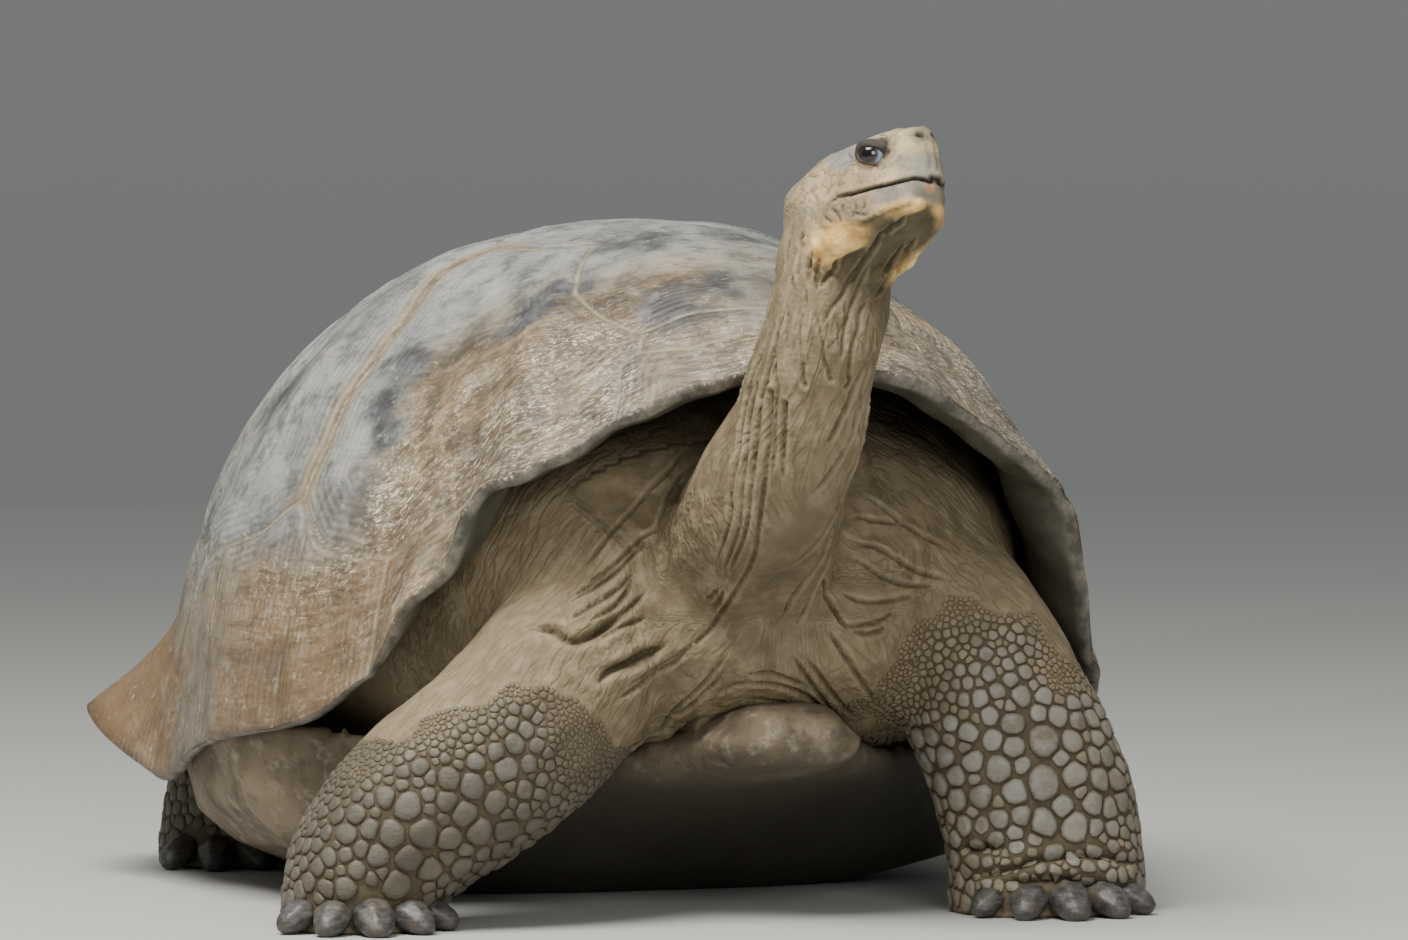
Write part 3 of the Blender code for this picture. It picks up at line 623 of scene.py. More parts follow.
def shape_lids(local, centre):
    """Moves points round one eye, and gives for each its new place, its distance out from the
    middle of the opening, where 1 is the lid's rim and 9 is far away, and its height over it."""
    mirror = np.array((1, np.sign(centre[1]), 1))
    facing = EYE_OPEN * mirror / np.linalg.norm(EYE_OPEN)
    long = EYE_LONG * mirror
    long = long - facing * (long @ facing)
    long /= np.linalg.norm(long)
    high = np.cross(facing, long)
    high *= np.sign(high[2])
    away = local - centre
    far = np.linalg.norm(away, axis=1)
    aim_at = away / far[:, None]
    wide = np.hypot(aim_at @ long / LID_LONG, aim_at @ high / LID_HIGH) * LID_RADIUS
    wide = np.where(aim_at @ facing > 0, wide, 9.0)
    above = aim_at @ high
    radius = 0.0100 + (LID_RADIUS - 0.0100) * ramp(wide, 0.90, 1.12)
    radius += 0.0016 * bell(wide - 1.55, 0.40) * ramp(above, 0.0, 0.5)
    radius -= 0.0012 * bell(wide - 1.42, 0.12) * ramp(above, 0.1, -0.2)
    hold = ramp(wide, 2.5, 1.25) * ramp(far, 0.034, 0.026)
    length = radius * hold + far * (1 - hold)
    length = np.where(wide > 1.12, np.maximum(length, 0.0150), length)
    moved = centre + aim_at * length[:, None]
    return moved, np.where(far < 0.024, wide, 9.0), above


points = points_of(skin)
local = in_head(points)
lid_wide, lid_above = np.full(len(points), 9.0), np.zeros(len(points))
for centre in EYES:
    moved, wide, above = shape_lids(local, centre)
    closer = (np.linalg.norm(local - centre, axis=1) < 0.036) & (wide < 4)
    local[closer] = moved[closer]
    lid_wide[closer], lid_above[closer] = wide[closer], above[closer]
put_points(skin, from_head(local))
print("points on the lids:", int((lid_wide < 2).sum()))

# %% [markdown]
# A tortoise has no teeth but a beak of horn. The mouth is a narrow slot, with the upper beak's
# edge a little proud of the lower one. Under it the jaw is a rounded ridge that ends in a soft
# jowl, and the throat behind it is hollow. All of it is carved at once, as one height per point.

# %% Mouth, beak, jaw and nostrils
MOUTH = np.array((
    (0.0290, 0.0362), (0.0362, 0.0351), (0.0494, 0.0333), (0.0625, 0.0314), (0.0713, 0.0305),
    (0.0822, 0.0286), (0.0932, 0.0277), (0.1018, 0.0270), (0.1059, 0.0270), (0.1121, 0.0242),
    (0.1150, 0.0212), (0.1169, 0.0255), (0.1190, 0.0215), (0.1230, 0.0205),
))  # (along, up) in the head's frame, from the corner to the tip
JAW = np.array(((-0.002, 0.045, 0.002), (0.018, 0.043, 0.001), (0.038, 0.033, 0.003),
                (0.058, 0.029, 0.004), (0.075, 0.026, 0.005), (0.100, 0.010, 0.006)))


def line_distance(spots, line):
    """Distance to a line of straight pieces, with the place of its nearest point."""
    best, where = np.full(len(spots), 9.0), np.zeros_like(spots)
    for a, b in zip(line, line[1:]):
        t = np.clip((spots - a) @ (b - a) / ((b - a) @ (b - a)), 0, 1)[:, None]
        near = a + (b - a) * t
        far = np.linalg.norm(spots - near, axis=1)
        where[far < best] = near[far < best]
        best = np.minimum(best, far)
    return best, where


points, normals = points_of(skin), normals_of(skin)
local = in_head(points)
along, side, up = local.T
on_face = ramp(along, 0.024, 0.040) * ramp(up, -0.02, 0.0)
mouth_far, mouth_at = line_distance(local[:, [0, 2]], MOUTH)
over = up > mouth_at[:, 1]
reach = np.where(along > 0.105, 1.0, ramp(abs(side), 0.004, 0.012))
carved = -0.0034 * bell(mouth_far, 0.0012) * reach
upper_edge = 0.0013 * ramp(mouth_far, 0.009, 0.0015)
lower_edge = -0.0014 * ramp(mouth_far, 0.012, 0.001)
carved += np.where(over, upper_edge, lower_edge)
carved *= on_face * ramp(along, 0.028, 0.045)

jaw_far, jaw_at = line_distance(np.stack([along, abs(side), up], 1), JAW)
on_jaw = ramp(along, -0.02, 0.0) * ramp(along, 0.112, 0.098)
carved += 0.0034 * bell(jaw_far, 0.0060) * on_jaw
under = up < jaw_at[:, 2] - 0.002
below = ramp(jaw_far - 0.009 * ramp(along, 0.062, 0.030), 0.004, 0.012) * under
below *= ramp(along, -0.030, 0.010) * ramp(along, 0.112, 0.098)
carved -= 0.0050 * below * ramp(jaw_far, 0.055, 0.018)
jowl = np.linalg.norm(np.stack([along - 0.012, abs(side) - 0.043, up + 0.003], 1), axis=1)
carved += 0.0034 * bell(jowl, 0.013)

crest = np.linalg.norm(np.stack([along - 0.096, side * 0.8, up - 0.077], 1), axis=1)
carved += 0.0042 * bell(crest, 0.013)
snout = ramp(along, 0.093, 0.108) * ramp(up, 0.030, 0.040) * ramp(up, 0.068, 0.058)
carved += snout * 0.0007 * np.cos(side / 0.0085 * 2 * math.pi)
nostril = np.minimum(*(np.hypot(side - s * 0.0065, up - 0.071) for s in (1, -1)))
at_tip = ramp(along, 0.100, 0.108)
carved += at_tip * (0.0007 * bell(nostril - 0.0042, 0.0016) - 0.0060 * bell(nostril, 0.0025))

points = points + normals * carved[:, None]
local = in_head(points)
CROWN = 0.083  # the snout is flattened above this height
too_high = (local[:, 2] > CROWN) & (local[:, 0] > 0.09)
local[too_high, 2] = CROWN + 0.2 * (local[too_high, 2] - CROWN)
put_points(skin, from_head(local))
relax(skin, 2, ramp(mouth_far, 0.0045, 0.0020)[:, None] * on_face[:, None])
print("deepest carving, mm:", round(carved.min() * 1000, 1))

# %% [markdown]
# The colours of the head follow the same landmarks. Each mark below is a number from 0 to 1 on
# every point, and the finish reads it by name: the horny beak, the ochre jaw and jowls, the slot
# of the mouth and the nostrils, the dark lids.

# %% Marks of the face
upper_beak = ramp(mouth_far, 0.034, 0.016) * ramp(along, 0.086, 0.104)
lower_beak = ramp(mouth_far, 0.021, 0.016)
beak = np.where(over, upper_beak, lower_beak)
around_nostrils = np.maximum(bell(nostril - 0.003, 0.0075), 0.8 * ramp(up, 0.060, 0.072))
cheek = ramp(along, 0.080, 0.060) * ramp(along, 0.005, 0.025)
cheek *= ramp(up, -0.012, 0.002) * ramp(up, 0.040, 0.032)
band = 0.013 + 0.010 * ramp(along, 0.060, 0.030)
jaw_band = np.maximum(ramp(jaw_far / band, 1.0, 0.35) * on_jaw, 1.5 * bell(jowl, 0.018)).clip(0, 1)
stain_far = np.hypot(along - 0.1145, (up - 0.013) * 0.5)
lips = bell(mouth_far, 0.0013) * on_face * ramp(along, 0.028, 0.045)
face = {
    "beak": ramp(along, 0.066, 0.078) * beak * ramp(jaw_far, 0.003, 0.007),
    "face": ramp(along, -0.045, 0.0) * ramp(up, -0.030, 0.012),
    "stain": bell(stain_far, 0.0030) * ramp(side, 0.002, -0.004),
    "nose": around_nostrils * ramp(along, 0.098, 0.110),
    # the throat: darker colour, partly its own and partly painted shade under the jaw
    "throat": below * ramp(jaw_far, 0.085, 0.045),
    "sallow": ramp(mouth_far, 0.002, 0.007) * ~over * cheek,
    "plates": ramp(up, 0.030, 0.050) * ramp(along, 0.088, 0.066) * ramp(lid_wide, 1.5, 2.2),
    "ochre": jaw_band * (1 - bell(mouth_far, 0.004)) * ramp(up, 0.030, 0.018),
    # the slot: painted shade, near black along the mouth's gap and in the nostrils
    "slot": lips + bell(nostril, 0.0028) * at_tip,
    "lid": ramp(lid_wide, 2.3, 1.9) * ramp(lid_above, -0.25, 0.15) + ramp(lid_wide, 1.40, 1.20),
}
print("face marks:", {name: int((value > 0.5).sum()) for name, value in face.items()})

# %% [markdown]
# ## Press the folds in
# Beside each crease the skin swells, and fainter ripples run along with it.

# %% Creases and swellings
points, normals = points_of(skin), normals_of(skin)
x, y, z = points.T
local = in_head(points)
on_head = ramp(local[:, 0], -0.035, 0.005) * ramp(local[:, 2], -0.030, -0.005)
front = in_front(points)

skin_tree = surface_of(skin)
# creases: how strong each crease is here, which also sets the painted shade in it
creases, fold_far = np.zeros(len(points)), np.full(len(points), 0.02)
raised = np.zeros(len(points))
for lines, width, deep, swell in FOLDS:
    distance, depth = distance_to(*laid_on_skin(lines), points)
    depth = depth * (0.82 + 0.25 * lumps(points, 0.08, 3))
    pressed = bell(distance, width) * depth
    shoulder = bell(distance - 2.5 * width, 1.6 * width) * depth
    ripple = np.cos(distance / 0.0052 * math.pi) * bell(distance, 0.016) * depth
    raised += -deep * pressed + swell * shoulder - 0.0006 * ripple
    creases = np.maximum(creases, bell(distance, width * 1.3) * depth)
    fold_far = np.minimum(fold_far, distance / np.clip(depth, 0.15, 1) * 0.0024 / width)
pit_far = np.linalg.norm((points - (-0.030, -0.448, 0.318)) * (1, 0.7, 0.8), axis=1)
raised -= 0.014 * bell(pit_far, 0.026) * front  # the pit above the breastbone
# the hollow at the base of the neck, which the finish paints dark as shade
shaded_hollow_far = np.linalg.norm((points - (-0.030, -0.480, 0.340)) * (1, 0.6, 0.6), axis=1)
print("creased points:", int((creases > 0.3).sum()))

# %% [markdown]
# ## Wrinkles everywhere else
# All round the neck and over the chest, the wrinkles between the great folds are finer and less
# orderly. They come from noise that is squeezed across the folds and stretched along them, and
# folded over at zero, so that it makes sharp little valleys. The neck leans, so its middle is
# measured at several heights first.

# %% Stretched wrinkles and soft swellings
levels = np.linspace(0.26, 0.62, 13)
ring = [points[(abs(z - level) < 0.012) & (y < -0.36) & (abs(x) < 0.16)] for level in levels]
ring = np.array([(found.max(0) + found.min(0)) / 2 for found in ring])
axis_x, axis_y = (np.interp(z, levels, ring[:, k]) for k in (0, 1))
around = np.arctan2(x - axis_x, -(y - axis_y))

stretched = np.stack([x - axis_x, y - axis_y, z * 0.13], 1)
upright = ramp(abs(normals[:, 2]), 0.55, 0.30)
wrinkled = 1 - abs(lumps(stretched, 0.0085, 5)) * 2
cords = 1 - abs(lumps(stretched, 0.021, 6)) * 2
on_neck = ramp(z, 0.27, 0.34) * (y < -0.30) * ramp(abs(x - axis_x), 0.16, 0.12) * (1 - on_head)
behind = on_neck * ramp(abs(around), 1.0, 1.5)
raised += (on_neck * upright * 0.0008 * wrinkled * (1 - creases)
           - behind * 0.0032 * ramp(cords, 0.5, 1))
creases = np.maximum(creases, behind * ramp(cords, 0.6, 1) * 0.8)

chest = (1 - on_neck) * (1 - on_head) * front
slanted = np.stack([x * 0.8 + z * 0.6, y, (z * 0.8 - x * 0.6) * 0.3], 1)
slanted_left = np.stack([x * 0.8 - z * 0.6, y, (z * 0.8 + x * 0.6) * 0.3], 1)
left_half = ramp(x, -0.035, 0.035)[:, None]
slant = slanted_left * (1 - left_half) + slanted * left_half
draped = lumps(slant, 0.013, 7)
raised += chest * 0.0010 * (1 - abs(draped) * 2) + 0.0012 * lumps(points, 0.045, 8) * (1 - on_head)
blend = ramp(on_neck, 0, 1)[:, None]
along_folds = stretched * blend + slant * (1 - blend)
print("wrinkle heights, mm:", round(raised.min() * 1000, 1), round(raised.max() * 1000, 1))

# %% [markdown]
# ## How big the scales are, leg by leg
# A giant tortoise's legs are armoured. Tiny beads on the upper arm grow into domed plates as wide
# as a thumb is long lower down. A few stops are set on each leg, in millimetres: a place and the
# width of the scales there, with 0 for bare skin. Everywhere else takes a blend of the nearest
# stops. The skin is drawn in a little where large scales will lie on it.

# %% Stops of scale width
# Each stop is x, y, z and the width of the scales there.
HIND_STOPS = (
    (250, 380, 200, 5), (360, 400, 150, 12), (330, 380, 80, 18), (260, 380, 60, 14),
    (300, 520, 120, 10), (250, 500, 60, 14), (390, 450, 50, 18),
)
SCALE_STOPS = {
    "foreleg_left": (
        (153, -367, 305, 0), (223, -371, 300, 0), (300, -330, 270, 0), (274, -398, 224, 5),
        (120, -373, 301, 0), (99, -387, 264, 0), (187, -360, 319, 0), (228, -359, 314, 0),
        (288, -364, 262, 0), (60, -390, 280, 0), (90, -380, 230, 0), (100, -300, 190, 0),
        (280, -220, 260, 0), (280, -150, 240, 0), (330, -230, 225, 0),
        (119, -350, 215, 6), (216, -388, 260, 14), (105, -330, 160, 0),
        (181, -373, 289, 6), (132, -356, 224, 6), (138, -327, 194, 7), (144, -364, 244, 7),
        (165, -376, 249, 10), (153, -366, 215, 9), (183, -382, 263, 12), (171, -387, 216, 13),
        (198, -394, 244, 19), (182, -396, 192, 20), (221, -389, 262, 12), (227, -400, 234, 18),
        (243, -411, 197, 30), (284, -411, 182, 24), (207, -410, 169, 24), (175, -388, 159, 27),
        (156, -347, 157, 30), (177, -383, 120, 26), (198, -407, 140, 28), (254, -420, 150, 38),
        (259, -422, 111, 42), (207, -410, 117, 26), (299, -412, 157, 22), (296, -420, 125, 26),
        (306, -420, 91, 20), (331, -410, 80, 18), (282, -423, 84, 34), (249, -420, 78, 28),
        (222, -413, 70, 20), (193, -395, 83, 22), (208, -408, 48, 12), (259, -433, 47, 13),
        (312, -431, 38, 14), (231, -427, 24, 16), (350, -300, 150, 16), (355, -330, 60, 14),
        (240, -170, 180, 9), (200, -220, 90, 12), (330, -300, 230, 6),
    ),
    "foreleg_right": (
        (-272, -351, 269, 0), (-226, -389, 261, 0), (-190, -400, 224, 0), (-257, -394, 236, 0),
        (-300, -377, 225, 0), (-339, -347, 214, 0), (-370, -352, 187, 0), (-185, -384, 269, 0),
        (-407, -347, 151, 5), (-201, -401, 177, 5), (-232, -407, 197, 6), (-269, -401, 199, 16),
        (-204, -382, 130, 9), (-100, -300, 190, 0), (-150, -300, 150, 0), (-170, -380, 200, 0),
        (-300, -250, 210, 0), (-230, -400, 236, 0), (-323, -356, 224, 0), (-348, -375, 188, 5),
        (-380, -320, 196, 0), (-223, -408, 197, 4), (-267, -395, 225, 5), (-250, -403, 216, 8),
        (-262, -385, 246, 0), (-280, -220, 263, 0), (-280, -150, 250, 0), (-330, -250, 200, 0),
        (-250, -200, 200, 0),
        (-233, -409, 183, 7), (-209, -397, 149, 6), (-289, -402, 184, 12), (-317, -398, 175, 10),
        (-347, -387, 175, 9), (-391, -358, 165, 8), (-413, -333, 155, 8), (-261, -406, 188, 17),
        (-276, -407, 166, 24), (-292, -405, 154, 24), (-313, -402, 161, 18), (-250, -402, 132, 16),
        (-362, -389, 153, 18), (-355, -395, 139, 28), (-327, -401, 134, 25), (-382, -388, 116, 31),
        (-346, -398, 116, 25), (-406, -373, 125, 16), (-424, -368, 97, 24), (-390, -385, 88, 28),
        (-289, -402, 115, 23), (-257, -393, 109, 20), (-216, -361, 101, 20), (-214, -383, 121, 13),
        (-335, -394, 92, 30), (-353, -389, 78, 34), (-303, -386, 77, 36), (-380, -384, 62, 28),
        (-417, -377, 70, 18), (-432, -365, 88, 16), (-340, -380, 36, 15), (-250, -350, 50, 18),
        (-300, -150, 180, 0), (-420, -260, 80, 14), (-300, -220, 80, 13),
    ),
    "hindleg_left": HIND_STOPS,
    "hindleg_right": tuple((-x, y, z, width) for x, y, z, width in HIND_STOPS),
}
print("stops:", {leg: len(stops) for leg, stops in SCALE_STOPS.items()})

# %% [markdown]
# The nearest stops count most: the weight of a stop falls with the fourth power of its distance.
# A leg's points are found by the leg's own solids, as the skin is one piece by now.

# %% Draw the skin in under the scales


def scale_width(leg, points):
    """The width of the scales at these points of a leg, in metres."""
    stops = np.array(SCALE_STOPS[leg], float) / 1000
    far = np.linalg.norm(points[:, None] - stops[None, :, :3], axis=2)
    weight = 1 / (far + 0.004) ** 4.0
    return (weight * stops[:, 3]).sum(1) / weight.sum(1)


def leg_nearby(leg, points, within):
    """True for the points that lie on this leg's solids, and not on the sole."""
    parts = [leg, leg.replace("leg", "foot")]
    solids = surface_of(copy_of("guide", parts))
    bpy.data.objects.remove(bpy.data.objects["guide"])
    boxes = np.array([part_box(part) for part in parts])
    low, high = boxes[:, 0].min(0) - 0.01, boxes[:, 1].max(0) + 0.01
    inside = ((points > low) & (points < high)).all(1) & (points[:, 2] > 0.005)
    for index in np.flatnonzero(inside).tolist():
        inside[index] = solids.find_nearest(Vector(points[index]), within)[0] is not None
    return inside


drawn_in = np.zeros(len(points))
for leg in SCALE_STOPS:
    on_leg = leg_nearby(leg, points, 0.004)
    drawn_in[on_leg] = 0.085 * np.clip(scale_width(leg, points[on_leg]), 0, 0.04)
raised -= drawn_in
print("skin drawn in by up to", round(drawn_in.max() * 1000, 1), "mm")

# %% [markdown]
# So far the heights were only added up. Now each point moves once along its normal, and the marks
# that the finish will read are stored on the points.

# %% Press the folds into the skin
put_points(skin, above_floor(points + normals * raised[:, None]))
one_way = abs(2 * left_half[:, 0] - 1)  # less where the slants of the two sides are blended
# pleated: where the finest pleats are drawn, as painted shade and relief
pleated = np.maximum(on_neck * upright * ramp(z, 0.62, 0.56),
                     0.8 * chest * ramp(z, 0.12, 0.2) * (0.2 + 0.8 * one_way))
pleated = pleated * (1 - 0.8 * (drawn_in > 0.0002)) * abs(2 * ramp(on_neck, 0, 1) - 1)
# painted shade in the neck's base hollow, and a darker brown where skin is drawn in under scales
soiled = np.maximum(0.7 * bell(shaded_hollow_far, 0.045), ramp(drawn_in, 0.0002, 0.0009))
put_marks(skin, {"crease": creases, "fold_far": fold_far, "soiled": soiled, "pleated": pleated})
put_marks(skin, face)
put_flow(skin, along_folds)
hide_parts(*[name for name in FLESH if not name.startswith("eye")])
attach(skin, "root")
print("skin triangles:", sum(len(face.vertices) - 2 for face in skin.data.polygons))

# %% [markdown]
# ## Plastron, nails and eyes
# The plastron is the flat plate under the belly, and its front end shows between the forelegs.
# Plates and nails are solids already, only coarse, so a copy of each is melted at a fine voxel
# size and rounded off. The eyes are balls, far smoother than the solids' own.

# %% Plastron and nails
def rounded_copy(name, nodes, voxel, times, swell):
    """A piece melted from copies of these solids, and rounded off."""
    piece = copy_of(name, nodes, swell)
    shape_with(piece, "REMESH", mode="VOXEL", voxel_size=voxel)
    relax(piece, times)
    put_points(piece, above_floor(points_of(piece)))
    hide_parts(*nodes)
    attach(piece, "root")
    return piece


plastron = rounded_copy("belly_plate", ["plastron"], 0.0075, 14, 0.0015)
claw_nodes = sorted(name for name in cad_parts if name.startswith("claw"))
claws = [
    rounded_copy(f"nail_{name[5:]}", [name], 0.0024, 40, 0.0040) for name in claw_nodes
]
print("plastron points:", len(plastron.data.vertices), "nails:", len(claws))

# %% Eyes
EYE_RADIUS = 0.0138
eyes = []
for side, sign, centre in zip(("left", "right"), (1, -1), EYES):
    bm = bmesh.new()
    bmesh.ops.create_uvsphere(bm, u_segments=48, v_segments=32, radius=EYE_RADIUS)
    look = Vector(from_head((0.40, sign * 0.84, -0.24)) - from_head((0, 0, 0))).normalized()
    turn = look.to_track_quat("Z", "Y").to_matrix()
    where = Vector(from_head(centre))
    bmesh.ops.transform(bm, verts=bm.verts, matrix=Matrix.Translation(where) @ turn.to_4x4())
    eye = object_of(bm, f"eyeball_{side}")
    away = points_of(eye) - np.array(where)
    facing = away @ np.array(look) / EYE_RADIUS
    put_marks(eye, {"from_pupil": np.arccos(np.clip(facing, -1, 1))})
    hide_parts(f"eye_{side}")
    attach(eye, "root")
    eyes.append(eye)
print("eyes at", [from_head(centre).round(3).tolist() for centre in EYES])

# %% [markdown]
# ## Horny scales on the legs
# Scales pack like cobbles: each is a rounded polygon whose sides face its neighbours. Seeds are
# thrown on the skin one after the other, and a seed stays only if it keeps its distance from the
# ones already there. A scale's outline in each direction is half the way to the neighbour there,
# softened so that the corners are round. Over that outline goes a little dome of four rings of
# points, laid on the skin, with its edge sunk into it.

# %% Throw the seeds
def triangles_on(obj, chosen):
    """Corner points of the object's triangles whose corners are all chosen."""
    obj.data.calc_loop_triangles()
    corners = np.empty(len(obj.data.loop_triangles) * 3, np.int32)
    obj.data.loop_triangles.foreach_get("vertices", corners)
    corners = corners.reshape(-1, 3)
    return points_of(obj)[corners[chosen[corners].all(1)]]


def seeds_for(leg, chance):
    """Places and widths of one leg's scales."""
    corners = triangles_on(skin, leg_nearby(leg, points_of(skin), 0.008))
    first, second = corners[:, 1] - corners[:, 0], corners[:, 2] - corners[:, 0]
    area = np.linalg.norm(np.cross(first, second), axis=1)  # twice each triangle's area
    width = np.maximum(scale_width(leg, corners.mean(1)), 0.004)
    share = area / width**2
    tries = int(share.sum() / 2 * 48)
    which = chance.choice(len(corners), tries, p=share / share.sum())
    mix = chance.dirichlet((1, 1, 1), tries)
    places = (corners[which] * mix[:, :, None]).sum(1)
    widths = scale_width(leg, places) * chance.uniform(0.86, 1.12, tries)
    late = slice(tries // 2, None)  # the second half of the throws fills gaps with small scales
    widths[late] *= np.where(widths[late] > 0.011, 0.55, 1)
    kept, size = np.zeros((0, 3)), np.zeros(0)
    for place, width in zip(places, widths):
        if width < 0.0044 or place[2] < 0.007 or (width < 0.0066 and chance.random() < 0.30):
            continue
        if len(kept) and (np.linalg.norm(kept - place, axis=1) < 0.41 * (size + width)).any():
            continue
        kept, size = np.vstack([kept, place]), np.append(size, width)
    return kept, size


nail_trees = [surface_of(claw) for claw in claws]
chance = np.random.default_rng(11)
skin_tree = surface_of(skin)
seeds = {}
for leg in SCALE_STOPS:
    places, widths = seeds_for(leg, chance)
    free = np.array([
        not any(tree.find_nearest(Vector(p), 0.35 * w)[0] for tree in nail_trees)
        for p, w in zip(places, widths)
    ])
    seeds[leg] = places[free], widths[free]
print("scales:", {leg: len(places) for leg, (places, _) in seeds.items()})

# %% [markdown]
# Twelve sides and four rings give each scale 48 faces, which is enough for a round dome a few
# centimetres wide. The corners are rounded by a power mean: a high power would leave them sharp.
# Every scale gets a little patch of its own in a flat map, OFBake.

# %% Build the scales
RINGS = ((0.46, 0.96), (0.76, 0.82), (0.93, 0.46), (1.0, -0.30))  # shares of radius and height
SIDES = 12
SHARP = 9.0
TURNS = np.arange(SIDES) * 2 * math.pi / SIDES


def radius_of(width, others):
    """A scale's radius at each turn, from the (angle, width, distance) of the others near it."""
    total = np.full(SIDES, (0.74 * width) ** -SHARP)
    for angle, other_width, far in others:
        half = far * width / (width + other_width)
        total += np.maximum(np.cos(TURNS - angle), 0) ** SHARP / half**SHARP
    return total ** (-1 / SHARP) * 0.97


def scales_on(leg, places, widths, patch_left):
    """One joined mesh of all the scales of a leg."""
    neighbours = lookup_of(places)
    axis = Vector(places.mean(0))
    verts, faces, tone, rim, broad, patches = [], [], [], [], [], []
    for place, width in zip(places, widths):
        root, normal, _, _ = skin_tree.find_nearest(Vector(place))
        first = normal.cross(Vector((0, 0, 1))).normalized()
        second = normal.cross(first)
        others = []
        for other, which, far in neighbours.find_n(place, 13)[1:]:
            way = other - root
            if far <= 1.2 * (width + widths[which]):
                angle = math.atan2(way.dot(second), way.dot(first))
                others.append((angle, widths[which], far))
        radius = radius_of(width, others)
        tall = 0.0004 + 0.150 * min(radius.mean() * 2, 0.036) * (0.85 + 0.3 * chance.random())
        start = len(verts)
        lean = Vector((0, 0, -1)) * 0.08 * radius.mean()
        verts.append(root + normal * tall + lean)
        for reach, height in RINGS:
            for k in range(SIDES):
                flat = first * math.cos(TURNS[k]) + second * math.sin(TURNS[k])
                spot, up, _, _ = skin_tree.find_nearest(root + flat * (radius[k] * reach))
                up = (up + normal).normalized()
                verts.append(spot + up * (tall * height) + lean * max(height, 0))
        inner = [start + 1 + k for k in range(SIDES)]
        faces += [(start, inner[k], inner[(k + 1) % SIDES]) for k in range(SIDES)]
        for ring in range(len(RINGS) - 1):
            a, b = start + 1 + ring * SIDES, start + 1 + (ring + 1) * SIDES
            for k in range(SIDES):
                n = (k + 1) % SIDES
                faces.append((a + k, b + k, b + n, a + n))
        count = 1 + SIDES * len(RINGS)
        tone += [chance.uniform(-1, 1)] * count
        broad += [width] * count
        rim += [0.0] + [share for share, _ in RINGS for _ in range(SIDES)]
        around = math.atan2(root.x - axis.x, -(root.y - axis.y)) / (2 * math.pi) + 0.5
        patch = np.array((patch_left + 0.005 + around * 0.235, 0.02 + root.z * 2.8))
        spread = np.stack([np.cos(TURNS), np.sin(TURNS)], 1)
        patches.append([patch] + [patch + spread[k] * share * 0.0015
                                  for share, _ in RINGS for k in range(SIDES)])
    mesh = bpy.data.meshes.new(f"scales_{leg}")
    mesh.from_pydata(above_floor(np.array(verts), 0.0003), [], faces)
    mesh.shade_smooth()
    piece = bpy.data.objects.new(f"scales_{leg}", mesh)
    bpy.context.scene.collection.objects.link(piece)
    bake = mesh.uv_layers.new(name="OFBake")
    corners = np.empty(len(mesh.loops), np.int32)
    mesh.loops.foreach_get("vertex_index", corners)
    bake.data.foreach_set("uv", np.concatenate(patches)[corners].ravel())
    put_marks(piece, {"tone": tone, "rim": rim, "broad": broad})
    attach(piece, "root")
    return piece


coats = [
    scales_on(leg, *seeds[leg], patch_left=0.25 * order) for order, leg in enumerate(SCALE_STOPS)
]
print("scale faces:", [len(coat.data.polygons) for coat in coats])

# %% [markdown]
# ## The shell
# The carapace is a dome of bone under plates of horn, the scutes. Five run down the middle, four
# lie on each flank, and small marginals edge the rim. The dome here follows the same rule as the
# solid: at each angle round from the front it has a rim height, a flare and a roundness, and a
# point is found by its angle and its share of the way from the crown to the rim.

# %% The dome's rule
SHIFT = np.array((0.0059, 0.0616, 0.0))
TOP, HALF_WIDTH, FRONT, REAR, WALL = 0.667, 0.450, 0.485, 0.545, 0.014
RIM = np.array((
    (0, 0.525, 0.022, 0.004, 1.70), (15, 0.511, 0.026, 0.006, 1.72),
    (26, 0.464, 0.030, 0.006, 1.78), (34, 0.432, 0.036, 0.006, 1.84),
    (40, 0.405, 0.040, 0.006, 1.90), (45, 0.338, 0.036, 0.004, 1.95),
    (51, 0.296, 0.028, 0.006, 2.00), (57, 0.232, 0.024, 0.006, 2.05),
    (68, 0.184, 0.016, 0.005, 2.12), (90, 0.152, 0.006, 0.002, 2.20),
    (104, 0.108, 0.012, 0.002, 2.18), (121, 0.172, 0.094, 0.008, 2.18),
    (140, 0.152, 0.078, 0.008, 2.18), (160, 0.120, 0.056, 0.006, 2.18),
    (180, 0.100, 0.038, 0.004, 2.18),
))  # degrees from the front: rim height, flare, scallop, roundness


def rim_at(angle):
    """The rim's four values at these angles, on a smooth line through the rows above."""
    key = np.clip(abs(np.degrees(angle)), 0, 180)
    row = np.clip(np.searchsorted(RIM[:, 0], key, side="right") - 1, 0, len(RIM) - 2)
    t = ((key - RIM[row, 0]) / (RIM[row + 1, 0] - RIM[row, 0]))[..., None]
    a, b, c, d = (RIM[np.clip(row + k, 0, len(RIM) - 1), 1:] for k in (-1, 0, 1, 2))
    return b + 0.5 * t * (c - a + t * (2 * a - 5 * b + 4 * c - d + t * (3 * (b - c) + d - a)))


def squared_off(value):
    """A sine or cosine that turns a circle into a slightly square oval."""
    return np.sign(value) * abs(value) ** (2 / 2.15)


